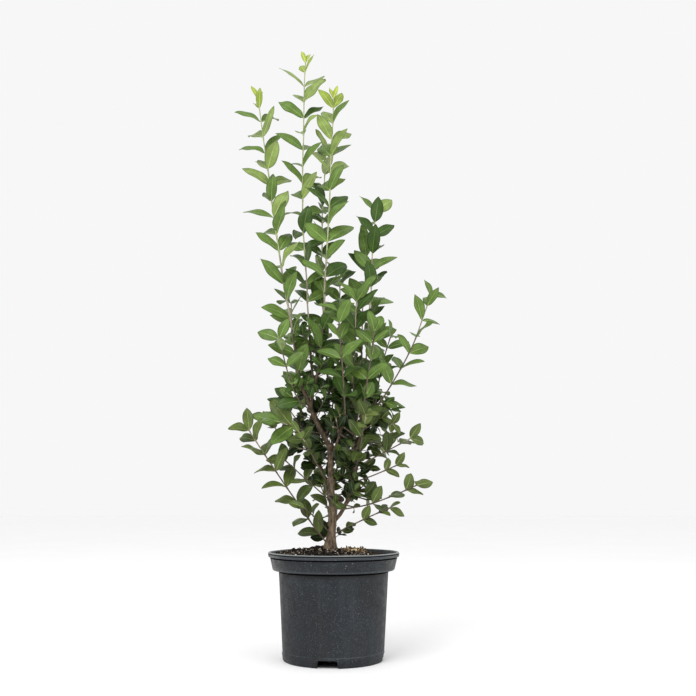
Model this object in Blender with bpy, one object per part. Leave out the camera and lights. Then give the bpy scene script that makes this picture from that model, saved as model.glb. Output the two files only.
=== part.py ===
"""A privet shrub in a round nursery pot: upright leafy shoots over a bushy foot.

Metres, +Z up. The origin is the middle of the pot's flat underside, and the shrub's front faces -Y.
"""

import math
import random
from dataclasses import dataclass, field

import bmesh
import bpy
from mathutils import Matrix, Vector
from mathutils.bvhtree import BVHTree
from mathutils.geometry import intersect_point_line

# Clearance between pieces that touch on the real plant, and a little more where a limb is cut from its parent
GAP = 0.0003
PARENT_GAP = 0.00033

# Pot: a tapered body, a wider collar round its top and a turned lip over that
POT_HEIGHT = 0.175
BASE_RADIUS = 0.085
BODY_TOP_RADIUS = 0.094
COLLAR_FOOT_RADIUS = 0.1045
COLLAR_TOP_RADIUS = 0.109
LIP_RADIUS = 0.1125
LIP_INNER_RADIUS = 0.1086
COLLAR_FOOT = 0.1455
LIP_FOOT = 0.1670
UNDERCUT = 0.0014
WALL = 0.0018
FLOOR = 0.0028
ROUNDING = 0.0012
BASE_RIB_HEIGHT = 0.0115
BASE_RIB_PROUD = 0.0008
POT_SEGMENTS = 36

# Drain notches in the foot of the pot's wall
NOTCHES = 4
NOTCH_TURN = math.radians(-95.5)
NOTCH_FOOT_WIDTH = 0.040
NOTCH_TOP_WIDTH = 0.030
NOTCH_HEIGHT = 0.012
NOTCH_INNER_RADIUS = 0.074

# Soil: fills the pot to just under the rim and rises a little to the trunk
SOIL_EDGE = 0.1695
SOIL_CROWN = 0.1765
SOIL_FLAT_RADIUS = 0.017
SOIL_LUMP = 0.0014
SOIL_RINGS = 4

# Trunk: one thick stem, cut off flat by pruning, with a thinner leader that carries on beside the cut
TRUNK_FOOT = Vector((-0.0066, 0.0, SOIL_CROWN + GAP))
TRUNK_BEND = Vector((-0.0022, 0.0, 0.232))
TRUNK_CUT = Vector((0.0008, 0.003, 0.268))
TRUNK_RADIUS = 0.0080
TRUNK_TOP_RADIUS = 0.0072
FLARE = 0.0055
FLARE_HEIGHT = 0.034
ROOT_RIDGES = 4
RIDGE_DEPTH = 0.28
CALLUS = 0.0016
CALLUS_HEIGHT = 0.010
TRUNK_SIDES = 12
LEADER_START = 0.6
LEADER_BEND = Vector((-0.0045, -0.005, 0.286))
LEADER_TIP = Vector((-0.0070, -0.010, 0.354))
LEADER_RADIUS = 0.0060
LEADER_TIP_RADIUS = 0.0048

# Limbs
RING_STEP = 0.040
BOUGH_RING_STEP = 0.022
TRUNK_RING_STEP = 0.011
BOUGH_SIDES = 6
STEM_SIDES = 3
STEM_RADIUS = 0.0010
STEM_THICKENING = 0.0019
STEM_TIP_RADIUS = 0.0010
SWAY = 0.0011
HEADING_STEP = 0.02
STEEP = math.sin(math.radians(45))

# Side twigs of the bushes: the lowest's share of the stem's length, the share that all of them take up, and
# the turn from one to the next
BUSH_TWIGS = 2
TWIG_FOOT = 0.22
TWIG_SPAN = 0.62
TWIG_TURN = math.radians(137)
TWIG_ANGLES = (math.radians(50), math.radians(66))
TWIG_STRETCH = (0.8, 1.15)
TWIG_RADIUS = 0.0014
TWIG_TIP_RADIUS = 0.0011
TWIG_LEAF = 0.9
TWIG_BARE = 0.3
TWIG_LEAF_TURN = 0.6

# Leaf blades: width and thickness are shares of the length
LEAF_WIDEST = 0.46
LEAF_HALF_WIDTH = 0.30
LEAF_THICKNESS = 0.028
LEAF_CURL = math.radians(30)
ROOT_DEPTH = 0.0004

# Leaf pairs: how far apart they sit, closer towards the tip; angles and lean are from the stem
NODE_SPACING = 0.033
LAST_PAIR_BACK = 0.0025
TOP_SPACING = 0.62
SPACING_GROWTH = 1.45
LOWEST_PAIR = 0.2
PAIR_SWING = 0.3
LEAF_ANGLE = math.radians(47)
LEAF_LEAN = 0.26
LEAF_ROLL = math.radians(20)
LEAF_STRETCH = (0.84, 1.10)

# The top pairs of a growing shoot are younger: shorter, and folded up round its tip
GROWING = ("shoot_left", "shoot_tall", "shoot_centre")
YOUNG_PAIRS = 2
YOUNG_LEAF_ANGLE = math.radians(22)
YOUNG_SHORTER = 0.50
GROWN_YOUNGNESS = 0.2

# Leaves turn their upper side to the light, which differs between the open shoots and the low crown
OPEN_LIGHT = Vector((0.05, -1.0, 0.40))
SHADE_LIGHT = Vector((0.0, -0.85, 0.55))
OPEN_HEIGHT = 0.55
SHADE_HEIGHT = 0.28
LIGHT_PULL = 2.2

# Shares of trunk, leader and left bough that no leaf covers from the front, and the room left at each side
OPEN_LIMBS = {"trunk": (0.05, 0.8), "leader": (0.3, 1.0), "bough_left": (0.0, 0.9)}
OPEN_STEPS = 8
OPEN_MARGIN = 0.004
OPEN_LEAF_SHARE = 0.18
OPEN_PROBES = (0.2, 0.5, 0.85)

# Room that a leaf keeps to its neighbours, how far it may lean into the next mass's space, where along the
# leaf that is measured, and the turns that it tries in order
CLEARANCE = 0.0007
SPACE_SLACK = 0.016
SPACE_PROBE = 0.8
RETRIES = (0.0, 0.45, -0.45, 0.9, -0.9)

# Colour and roughness of each material
PLASTIC = ((0.045, 0.052, 0.057), 0.45)
EARTH = ((0.035, 0.022, 0.014), 0.95)
BARK = ((0.205, 0.150, 0.110), 0.85)
LEAF_GREEN = ((0.070, 0.165, 0.030), 0.40)
SHARP_EDGE = math.radians(66)


@dataclass
class Limb:
    """A tapering stem along a smooth line."""

    name: str
    line: list
    foot_radius: float
    tip_radius: float
    reach: list = field(default_factory=list)

    def __post_init__(self):
        self.reach = [0.0]
        for start, end in zip(self.line, self.line[1:]):
            self.reach.append(self.reach[-1] + (end - start).length)

    @property
    def length(self):
        return self.reach[-1]

    def at(self, along):
        """The place at a share of the length."""
        wanted = along * self.length
        for i, done in enumerate(self.reach[1:]):
            if wanted <= done or i == len(self.line) - 2:
                part = (wanted - self.reach[i]) / (done - self.reach[i])
                return self.line[i].lerp(self.line[i + 1], part)

    def heading(self, along):
        low, high = max(0.0, along - HEADING_STEP), min(1.0, along + HEADING_STEP)
        return (self.at(high) - self.at(low)).normalized()

    def frame(self, along):
        """The heading and two directions square to it, the same way round all along the limb."""
        heading = self.heading(along)
        steep = abs((self.line[-1] - self.line[0]).normalized().z) > STEEP
        reference = Vector((1, 0, 0)) if steep else Vector((0, 0, 1))
        first = (reference - heading * reference.dot(heading)).normalized()
        return heading, first, heading.cross(first)

    def radius(self, along):
        return self.foot_radius + (self.tip_radius - self.foot_radius) * along

    def distance(self, point):
        """How far a point is from the limb's line."""
        nearest = math.inf
        for start, end in zip(self.line, self.line[1:]):
            _, part = intersect_point_line(point, start, end)
            on = start.lerp(end, min(1.0, max(0.0, part)))
            nearest = min(nearest, (point - on).length)
        return nearest


@dataclass
class Leaf:
    """A blade that bends away from its stem."""

    root: Vector
    axis: Vector
    normal: Vector
    length: float

    def point(self, along, side, rise):
        """A point at a share of the length, set off sideways and along the blade's normal."""
        angle = LEAF_CURL * along
        forward = math.sin(angle) / LEAF_CURL * self.length
        drop = (1 - math.cos(angle)) / LEAF_CURL * self.length
        across = self.axis.cross(self.normal)
        up = self.normal * math.cos(angle) + self.axis * math.sin(angle)
        return self.root + self.axis * forward - self.normal * drop + across * side + up * rise

    def solid(self, swell=0.0):
        """Corners and faces of the blade: two above, creased across its widest line, and four below."""
        half = LEAF_HALF_WIDTH * self.length + swell
        corners = [
            self.root,
            self.point(LEAF_WIDEST, half, 0),
            self.point(1 + swell / self.length, 0, 0),
            self.point(LEAF_WIDEST, -half, 0),
            self.point(LEAF_WIDEST, 0, -LEAF_THICKNESS * self.length - swell),
        ]
        return corners, [(0, 1, 3), (1, 2, 3), (1, 0, 4), (2, 1, 4), (3, 2, 4), (0, 3, 4)]


@dataclass
class Mass:
    """One stem with everything that grows on it."""

    stem: Limb
    leaf: float
    bare: float
    turn: float
    twigs: int
    youngness: float
    limbs: list = field(default_factory=list)
    leaves: list = field(default_factory=list)


# Boughs: the limb each leaves, how far up that limb, its bends and tip, and its radius at both ends
BOUGHS = {
    "bough_left": ("leader", 0.99, [(-0.032, -0.013, 0.4), (-0.06, -0.012, 0.468)], 0.0047, 0.0032),
    "bough_centre": ("bough_left", 0.6, [(-0.036, -0.018, 0.458), (-0.026, -0.018, 0.495)], 0.0028, 0.0024),
    "bough_tall": ("bough_centre", 0.5, [(-0.043, -0.002, 0.52), (-0.046, 0, 0.575)], 0.0023, 0.002),
    "bough_right": (
        "trunk", 0.5, [(0.018, -0.002, 0.25), (0.033, 0, 0.3), (0.032, -0.002, 0.392)], 0.0034, 0.0027
    ),
    "bough_right_tall": ("bough_right", 0.86, [(0.047, 0.006, 0.44), (0.057, 0.006, 0.51)], 0.0024, 0.002),
    "bough_far_right": ("bough_right", 0.7, [(0.056, -0.004, 0.398), (0.085, 0.001, 0.438)], 0.0023, 0.0019),
    "bough_back": ("leader", 0.62, [(-0.004, 0.026, 0.365), (-0.01, 0.056, 0.43)], 0.0029, 0.0023),
    "bough_back_left": ("leader", 0.36, [(-0.03, 0.022, 0.335), (-0.055, 0.05, 0.385)], 0.0024, 0.0019),
    "bough_back_right": ("bough_right", 0.36, [(0.042, 0.035, 0.325), (0.046, 0.062, 0.37)], 0.0023, 0.0019),
    "bough_front": ("leader", 0.8, [(0.008, -0.03, 0.368), (0.02, -0.048, 0.41)], 0.0024, 0.0019),
}

# Masses: the limb each leaves, how far up that limb, the bend and tip of its stem, the length of its leaves,
# the bare share of its stem, and the turn in degrees of its top pair of leaves
SHOOTS = {
    "shoot_left": ("bough_left", 0.99, (-0.104, 0.0, 0.722), (-0.15, 0.008, 1.028), 0.06, 0.02, 28),
    "shoot_tall": ("bough_tall", 0.99, (-0.061, 0, 0.81), (-0.058, 0, 1.099), 0.059, 0.02, 30),
    "shoot_centre": ("bough_centre", 0.99, (-0.013, -0.024, 0.72), (-0.003, -0.03, 1.008), 0.061, 0.02, -65),
    "shoot_centre_back": ("bough_back", 0.99, (-0.026, 0.056, 0.72), (-0.018, 0.05, 0.94), 0.058, 0.02, 70),
    "shoot_right_tall": ("bough_right_tall", 0.99, (0.068, 0.01, 0.66), (0.076, 0.018, 0.799), 0.06, 0.02, 8),
    "shoot_right_back": ("bough_right_tall", 0.62, (0.052, 0.046, 0.6), (0.062, 0.052, 0.742), 0.057, 0.1, 40),
    "shoot_right_short": ("bough_right", 0.99, (0.034, -0.022, 0.48), (0.04, -0.036, 0.612), 0.06, 0.04, 30),
    "shoot_far_right": ("bough_far_right", 0.99, (0.132, 0.004, 0.516), (0.178, 0.01, 0.634), 0.048, 0.04, 22),
    "shoot_far_right_low": ("bough_far_right", 0.8, (0.086, 0.034, 0.5), (0.104, 0.04, 0.562), 0.044, 0.1, 60),
    "shoot_back": ("bough_back", 0.8, (0.006, 0.094, 0.52), (0.008, 0.112, 0.7), 0.052, 0.08, 15),
    "shoot_back_left": ("bough_back_left", 0.99, (-0.074, 0.078, 0.5), (-0.086, 0.09, 0.64), 0.052, 0.04, 35),
    "shoot_back_right": ("bough_back_right", 0.99, (0.062, 0.088, 0.46), (0.078, 0.106, 0.59), 0.05, 0.04, 55),
    "shoot_front": ("bough_front", 0.99, (0.016, -0.068, 0.48), (0.008, -0.078, 0.585), 0.05, 0.04, 40),
    "shoot_front_right": ("bough_right", 0.8, (0.054, -0.05, 0.44), (0.07, -0.07, 0.55), 0.048, 0.08, 65),
    "shoot_front_left": ("bough_left", 0.55, (-0.07, -0.04, 0.45), (-0.096, -0.056, 0.54), 0.046, 0.1, 10),
}

SPRAYS = {
    "spray_left": ("trunk", 0.06, (-0.066, -0.023, 0.262), (-0.146, -0.045, 0.381), 0.046, 0.08, 60),
    "spray_left_big": ("bough_left", 0.22, (-0.062, -0.022, 0.384), (-0.09, -0.04, 0.394), 0.066, 0.4, 80),
    "spray_left_low": ("leader", 0.22, (-0.048, -0.016, 0.298), (-0.084, -0.028, 0.33), 0.04, 0.2, 20),
    "spray_left_foot": ("trunk", 0.3, (-0.026, -0.02, 0.228), (-0.05, -0.036, 0.25), 0.036, 0.3, 40),
    "spray_right_low": ("bough_right", 0.17, (0.07, -0.014, 0.258), (0.144, -0.028, 0.288), 0.038, 0.3, 75),
    "spray_right_stub": ("trunk", 0.28, (0.052, -0.014, 0.23), (0.098, -0.022, 0.25), 0.031, 0.2, 30),
    "spray_right_mid": ("bough_right", 0.44, (0.072, -0.015, 0.306), (0.11, -0.02, 0.322), 0.033, 0.5, 50),
    "spray_right": ("bough_right", 0.58, (0.084, 0.012, 0.344), (0.138, 0.02, 0.372), 0.042, 0.5, 15),
    "spray_back_low": ("trunk", 0.42, (-0.012, 0.062, 0.25), (-0.03, 0.13, 0.3), 0.042, 0.2, 25),
    "spray_back_right": ("bough_back_right", 0.6, (0.08, 0.092, 0.352), (0.108, 0.13, 0.392), 0.042, 0.2, 5),
    "spray_back_left": ("bough_back_left", 0.62, (-0.09, 0.07, 0.372), (-0.126, 0.092, 0.412), 0.042, 0.2, 45),
    "spray_back": ("bough_back", 0.45, (0.01, 0.09, 0.4), (0.014, 0.135, 0.45), 0.042, 0.2, 65),
    "spray_front_left": ("leader", 0.4, (-0.036, -0.06, 0.336), (-0.056, -0.112, 0.372), 0.032, 0.4, 35),
    "spray_front_right": ("bough_right", 0.5, (0.046, -0.056, 0.352), (0.054, -0.11, 0.4), 0.038, 0.3, 55),
}

BUSHES = {
    "bush_left": ("leader", 0.78, (-0.05, 0.012, 0.38), (-0.092, 0.018, 0.436), 0.037, 0.25, 10),
    "bush_front": ("bough_front", 0.55, (0.01, -0.046, 0.374), (0.004, -0.064, 0.4), 0.03, 0.25, 40),
    "bush_front_right": ("bough_right", 0.66, (0.036, -0.034, 0.38), (0.044, -0.052, 0.41), 0.035, 0.25, 70),
    "bush_right": ("bough_right", 0.77, (0.062, 0.022, 0.39), (0.1, 0.034, 0.438), 0.038, 0.25, 20),
    "bush_back": ("bough_back", 0.25, (-0.028, 0.052, 0.396), (-0.04, 0.072, 0.44), 0.035, 0.25, 50),
    "bush_centre": ("bough_centre", 0.2, (0, 0.014, 0.44), (0.006, 0.02, 0.476), 0.035, 0.25, 30),
    "bush_low": ("leader", 0.1, (-0.012, -0.024, 0.276), (-0.004, -0.044, 0.286), 0.026, 0.25, 60),
    "bush_low_right": ("bough_right", 0.14, (0.037, 0.016, 0.272), (0.057, 0.028, 0.293), 0.024, 0.25, 18),
    "bush_low_back": ("leader", 0.16, (0, 0.036, 0.3), (0.01, 0.064, 0.336), 0.032, 0.25, 35),
}

MASSES = {**SHOOTS, **SPRAYS, **BUSHES}


def smooth(points, steps=8):
    """A smooth curve through the points."""
    ends = [2 * points[0] - points[1], *points, 2 * points[-1] - points[-2]]
    curve = [points[0]]
    for before, start, end, after in zip(ends, ends[1:], ends[2:], ends[3:]):
        for step in range(1, steps + 1):
            t = step / steps
            straight = 2 * start + (end - before) * t
            bend = (2 * before - 5 * start + 4 * end - after) * t**2
            twist = (3 * start - before - 3 * end + after) * t**3
            curve.append((straight + bend + twist) / 2)
    return curve


def limb_through(name, points, foot_radius, tip_radius, ring_step, sway=0.0):
    """A limb whose line runs through the points in even steps, swaying a little at each."""
    rng = random.Random(name)
    curve = Limb(name, smooth([Vector(point) for point in points]), foot_radius, tip_radius)
    steps = max(2, round(curve.length / ring_step))
    line = []
    for i in range(steps + 1):
        offset = Vector((rng.uniform(-1, 1), rng.uniform(-1, 1), 0)) * sway
        line.append(curve.at(i / steps) + (offset if 0 < i < steps else Vector()))
    return Limb(name, line, foot_radius, tip_radius)


def tube(limb, sides, grow=0.0, shape=None):
    """Corners and faces of a limb, made thicker and longer by a margin; shape adds to the radius."""
    corners = []
    last = len(limb.line) - 1
    for i, place in enumerate(limb.line):
        along = limb.reach[i] / limb.length
        heading, first, second = limb.frame(along)
        centre = place + heading * (grow if i == last else 0.0)
        for k in range(sides):
            angle = 2 * math.pi * k / sides
            radius = limb.radius(along) + grow
            if shape:
                radius += shape(limb.reach[i], limb.length, angle)
            corners.append(centre + (first * math.cos(angle) + second * math.sin(angle)) * radius)
    faces = [tuple(reversed(range(sides))), tuple(range(last * sides, (last + 1) * sides))]
    for i in range(last):
        for k in range(sides):
            a, b = i * sides + k, i * sides + (k + 1) % sides
            faces.append((a, b, b + sides, a + sides))
    return corners, faces


def turned(profile, segments, lift=None):
    """Corners and faces of a profile of (radius, height) turned round Z, open at neither end."""
    corners = []
    rings = []
    for index, (radius, height) in enumerate(profile):
        count = 1 if radius == 0 else segments
        rings.append(range(len(corners), len(corners) + count))
        for k in range(count):
            angle = 2 * math.pi * k / segments
            rise = lift(index, k) if lift else 0.0
            corners.append(Vector((radius * math.cos(angle), radius * math.sin(angle), height + rise)))
    faces = []
    for low, high in zip(rings, rings[1:]):
        for k in range(segments):
            a, b = low[k % len(low)], low[(k + 1) % len(low)]
            c, d = high[(k + 1) % len(high)], high[k % len(high)]
            faces.append(tuple(dict.fromkeys((a, b, c, d))))
    return corners, faces


def add_object(name, corners, faces):
    mesh = bpy.data.meshes.new(name)
    mesh.from_pydata(corners, [], faces)
    mesh.update()
    obj = bpy.data.objects.new(name, mesh)
    bpy.context.scene.collection.objects.link(obj)
    return obj


def set_mesh(obj, mesh):
    old = obj.data
    obj.modifiers.clear()
    obj.data = mesh
    bpy.data.meshes.remove(old)


def apply_boolean(obj, others, operation):
    """Joins the others to an object, or cuts them from it, and removes them."""
    helpers = bpy.data.collections.new(obj.name + "_helpers")
    bpy.context.scene.collection.children.link(helpers)
    for other in others:
        bpy.context.scene.collection.objects.unlink(other)
        helpers.objects.link(other)
    modifier = obj.modifiers.new("shape", "BOOLEAN")
    modifier.operation = operation
    modifier.solver = "EXACT"
    modifier.operand_type = "COLLECTION"
    modifier.collection = helpers
    bpy.context.view_layer.update()
    graph = bpy.context.evaluated_depsgraph_get()
    set_mesh(obj, bpy.data.meshes.new_from_object(obj.evaluated_get(graph)))
    for other in others:
        bpy.data.objects.remove(other)
    bpy.data.collections.remove(helpers)


def keep_largest(obj):
    """Drops loose scraps and the walls of sealed hollows."""
    shape = bmesh.new()
    shape.from_mesh(obj.data)
    left = set(shape.faces)
    largest = set()
    while left:
        found = set()
        front = {left.pop()}
        while front:
            found |= front
            front = {near for face in front for edge in face.edges for near in edge.link_faces}
            front -= found
        left -= found
        largest = max(largest, found, key=len)
    bmesh.ops.delete(shape, geom=[face for face in shape.faces if face not in largest], context="FACES")
    bmesh.ops.triangulate(shape, faces=shape.faces)
    shape.to_mesh(obj.data)
    shape.free()


def principled(name, colour, roughness):
    material = bpy.data.materials.new(name)
    material.use_nodes = True
    shader = material.node_tree.nodes["Principled BSDF"]
    shader.inputs["Base Color"].default_value = (*colour, 1)
    shader.inputs["Roughness"].default_value = roughness
    shader.inputs["Metallic"].default_value = 0.0
    return material


def finish(obj, colour, roughness, is_round=False):
    obj.data.materials.clear()
    obj.data.materials.append(principled(obj.name, colour, roughness))
    if is_round:
        obj.data.shade_smooth()
        obj.data.set_sharp_from_angle(angle=SHARP_EDGE)


def pot_profile():
    """Outer wall from the middle of the underside up to the lip, then the inner wall down to the floor."""
    rib_radius = BASE_RADIUS + (BODY_TOP_RADIUS - BASE_RADIUS) * BASE_RIB_HEIGHT / COLLAR_FOOT
    outer = [
        (0, 0),
        (BASE_RADIUS - ROUNDING, 0),
        (BASE_RADIUS, ROUNDING),
        (rib_radius + BASE_RIB_PROUD, BASE_RIB_HEIGHT),
        (rib_radius, BASE_RIB_HEIGHT + ROUNDING),
        (BODY_TOP_RADIUS, COLLAR_FOOT),
        (COLLAR_FOOT_RADIUS - ROUNDING, COLLAR_FOOT),
        (COLLAR_FOOT_RADIUS, COLLAR_FOOT + ROUNDING),
        (COLLAR_TOP_RADIUS, LIP_FOOT - UNDERCUT),
        (COLLAR_TOP_RADIUS - ROUNDING / 2, LIP_FOOT),
        (LIP_RADIUS - ROUNDING / 2, LIP_FOOT + ROUNDING / 2),
        (LIP_RADIUS, LIP_FOOT + 2 * ROUNDING),
        (LIP_RADIUS, POT_HEIGHT - ROUNDING),
        (LIP_RADIUS - ROUNDING, POT_HEIGHT),
    ]
    inner = [
        (LIP_INNER_RADIUS + ROUNDING / 2, POT_HEIGHT),
        (LIP_INNER_RADIUS, POT_HEIGHT - ROUNDING / 2),
        (COLLAR_TOP_RADIUS - WALL, LIP_FOOT),
        (COLLAR_FOOT_RADIUS - WALL, COLLAR_FOOT + WALL),
        (BODY_TOP_RADIUS - WALL, COLLAR_FOOT + WALL),
        (BASE_RADIUS - WALL, FLOOR),
        (0, FLOOR),
    ]
    return outer + inner


def notch_cutter(turn):
    """A wedge that cuts one drain notch out of the wall's foot."""
    corners = []
    for radius in (NOTCH_INNER_RADIUS, LIP_RADIUS):
        for half, height in ((NOTCH_FOOT_WIDTH / 2, -NOTCH_HEIGHT), (NOTCH_TOP_WIDTH / 2, NOTCH_HEIGHT)):
            for side in (-half, half):
                x = radius * math.cos(turn) - side * math.sin(turn)
                y = radius * math.sin(turn) + side * math.cos(turn)
                corners.append(Vector((x, y, height)))
    faces = [(0, 2, 3, 1), (4, 5, 7, 6), (0, 1, 5, 4), (2, 6, 7, 3), (0, 4, 6, 2), (1, 3, 7, 5)]
    return add_object("notch", corners, faces)


def make_pot():
    pot = add_object("pot", *turned(pot_profile(), POT_SEGMENTS))
    cutters = [notch_cutter(NOTCH_TURN + 2 * math.pi * i / NOTCHES) for i in range(NOTCHES)]
    apply_boolean(pot, cutters, "DIFFERENCE")
    finish(pot, *PLASTIC, is_round=True)


def make_soil():
    """A plug that follows the pot's inner wall, with a lumpy top that is flat under the trunk."""
    rng = random.Random("soil")
    foot_height = FLOOR + GAP
    step_height = COLLAR_FOOT + WALL + GAP
    taper = (BODY_TOP_RADIUS - BASE_RADIUS) / COLLAR_FOOT
    foot = BASE_RADIUS - WALL - GAP + taper * GAP
    step = foot + taper * (COLLAR_FOOT - FLOOR)
    edge = COLLAR_FOOT_RADIUS - WALL - 2 * GAP
    profile = [(0, foot_height), (foot, foot_height), (step, step_height), (edge, step_height)]
    first_top = len(profile)
    for i in range(SOIL_RINGS):
        share = i / (SOIL_RINGS - 1)
        radius = edge + (SOIL_FLAT_RADIUS - edge) * share
        profile.append((radius, SOIL_EDGE + (SOIL_CROWN - SOIL_EDGE) * math.sin(share * math.pi / 2)))
    last_lumpy = len(profile) - 1
    profile.append((0, SOIL_CROWN))

    def lump(ring, _):
        return rng.uniform(-SOIL_LUMP, SOIL_LUMP) if first_top < ring < last_lumpy else 0.0

    soil = add_object("soil", *turned(profile, POT_SEGMENTS, lump))
    finish(soil, *EARTH)


def trunk_shape(reach, length, angle):
    """Extra radius: roots that flare out at the foot, and a swollen rim round the pruning cut."""
    foot = max(0.0, 1 - reach / FLARE_HEIGHT) ** 2
    ridges = 1 + RIDGE_DEPTH * math.cos(ROOT_RIDGES * angle)
    top = max(0.0, 1 - (length - reach) / CALLUS_HEIGHT)
    return FLARE * foot * ridges + CALLUS * top


def make_trunk():
    """The pruned trunk with the leader fused to its side; both are returned as limbs."""
    line = [TRUNK_FOOT, TRUNK_BEND, TRUNK_CUT]
    trunk = limb_through("trunk", line, TRUNK_RADIUS, TRUNK_TOP_RADIUS, TRUNK_RING_STEP)
    # The foot is cut level with the soil
    corners, faces = tube(trunk, TRUNK_SIDES, shape=trunk_shape)
    for corner in corners[:TRUNK_SIDES]:
        corner.z = TRUNK_FOOT.z
    body = add_object("trunk", corners, faces)
    line = [trunk.at(LEADER_START), LEADER_BEND, LEADER_TIP]
    leader = limb_through("leader", line, LEADER_RADIUS, LEADER_TIP_RADIUS, BOUGH_RING_STEP)
    apply_boolean(body, [add_object("leader", *tube(leader, BOUGH_SIDES))], "UNION")
    keep_largest(body)
    finish(body, *BARK, is_round=True)
    return trunk, leader


def corners_box(corners):
    low = Vector([min(corner[i] for corner in corners) for i in range(3)])
    high = Vector([max(corner[i] for corner in corners) for i in range(3)])
    return low, high


def open_places(limbs):
    """Places along the limbs that stay open to view."""
    places = []
    for name, (low, high) in OPEN_LIMBS.items():
        places += [limbs[name].at(low + (high - low) * i / OPEN_STEPS) for i in range(OPEN_STEPS + 1)]
    return places


class Room:
    """Every limb and leaf that already stands, so that new ones can keep clear of them."""

    def __init__(self, limbs):
        self.held = []
        self.open_places = open_places(limbs)

    def add(self, owner, node, shape):
        """Holds a shape for a mass; node is None for a limb, and names the pair for a leaf."""
        self.held.append((owner, node, *corners_box(shape[0]), BVHTree.FromPolygons(*shape)))

    def is_free(self, owner, node, shape, swollen):
        """Whether a shape misses its own mass's other leaves, and its swollen form all other masses."""
        low, high = corners_box(swollen[0])
        plain_tree = BVHTree.FromPolygons(*shape)
        swollen_tree = BVHTree.FromPolygons(*swollen)
        for other, other_node, other_low, other_high, other_tree in self.held:
            if any(high[i] < other_low[i] or other_high[i] < low[i] for i in range(3)):
                continue
            if other != owner and swollen_tree.overlap(other_tree):
                return False
            if other == owner and other_node not in (None, node) and plain_tree.overlap(other_tree):
                return False
        return True

    def free_for_leaf(self, owner, node, leaf):
        return self.is_free(owner, node, leaf.solid(), leaf.solid(CLEARANCE))

    def free_for_twig(self, owner, twig):
        return self.is_free(owner, None, tube(twig, STEM_SIDES), tube(twig, STEM_SIDES, CLEARANCE))


def direction_at(limb, along, turn, angle):
    """A direction that leaves a limb at an angle to it, turned round it."""
    heading, first, second = limb.frame(along)
    radial = first * math.cos(turn) + second * math.sin(turn)
    return (heading * math.cos(angle) + radial * math.sin(angle)).normalized()


def light_at(height):
    """Where the light comes from: the front on the open shoots, and more from above in the low crown."""
    share = (height - SHADE_HEIGHT) / (OPEN_HEIGHT - SHADE_HEIGHT)
    return SHADE_LIGHT.lerp(OPEN_LIGHT, min(1.0, max(0.0, share)))


def leaf_at(limb, along, turn, angle, length, roll):
    """A leaf rooted in a limb, its upper side turned to the limb's tip and the light, then rolled."""
    axis = direction_at(limb, along, turn, angle)
    heading = limb.heading(along)
    facing = heading - axis * axis.dot(heading)
    light = light_at(limb.at(along).z)
    lit = light - axis * axis.dot(light)
    normal = (facing + lit * LIGHT_PULL).normalized()
    normal = Matrix.Rotation(roll, 3, axis) @ normal
    return Leaf(limb.at(along) - axis * ROOT_DEPTH, axis, normal, length)


def node_places(limb, bare):
    """Shares of a limb's length where leaf pairs sit, closer together near the tip."""
    places = []
    left = limb.length - LAST_PAIR_BACK
    step = NODE_SPACING * TOP_SPACING
    while left > limb.length * bare + NODE_SPACING * LOWEST_PAIR:
        places.append(left / limb.length)
        left -= step
        step = min(NODE_SPACING, step * SPACING_GROWTH)
    return list(reversed(places))


def keeps_space(mass, masses, leaf):
    """Whether a leaf stays in the space that is nearer its own stem than any other."""
    point = leaf.point(SPACE_PROBE, 0, 0)
    own = min(limb.distance(point) for limb in mass.limbs)
    return all(own < other.stem.distance(point) + SPACE_SLACK for other in masses if other is not mass)


def hides_limb(room, leaf):
    """Whether a leaf lies in front of a limb that stays open to view."""
    margin = OPEN_MARGIN + OPEN_LEAF_SHARE * leaf.length
    for share in OPEN_PROBES:
        point = leaf.point(share, 0, 0)
        for open_place in room.open_places:
            aside = math.hypot(point.x - open_place.x, point.z - open_place.z)
            if point.y < open_place.y and aside < margin:
                return True
    return False


def fit_leaf(mass, masses, room, node, sprouts):
    """Adds the first of some leaves that has room, and holds its room for a pair's node."""
    for leaf in sprouts:
        kept = keeps_space(mass, masses, leaf) and not hides_limb(room, leaf)
        if kept and room.free_for_leaf(mass.stem.name, node, leaf):
            mass.leaves.append(leaf)
            room.add(mass.stem.name, node, leaf.solid())
            return


def grow_leaves(mass, masses, room, limb, rng, size, bare, turn):
    """Pairs of leaves along a limb, each pair square to the last; one with no room is turned or left out."""
    places = node_places(limb, bare)
    for index, along in enumerate(places):
        from_top = len(places) - 1 - index
        young = max(0.0, 1 - from_top / YOUNG_PAIRS) * mass.youngness
        angle = LEAF_ANGLE + (YOUNG_LEAF_ANGLE - LEAF_ANGLE) * young
        length = size * (1 - YOUNG_SHORTER * young)
        pair_turn = turn + from_top * math.pi / 2 + rng.uniform(-PAIR_SWING, PAIR_SWING)
        for side in (0, math.pi):
            stretched = length * rng.uniform(*LEAF_STRETCH)
            leaning = angle + rng.uniform(-LEAF_LEAN, LEAF_LEAN) * (1 - young / 2)
            roll = rng.uniform(-LEAF_ROLL, LEAF_ROLL)
            turns = [pair_turn + side + swing for swing in RETRIES]
            sprouts = [leaf_at(limb, along, own_turn, leaning, stretched, roll) for own_turn in turns]
            fit_leaf(mass, masses, room, (limb.name, index), sprouts)


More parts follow.
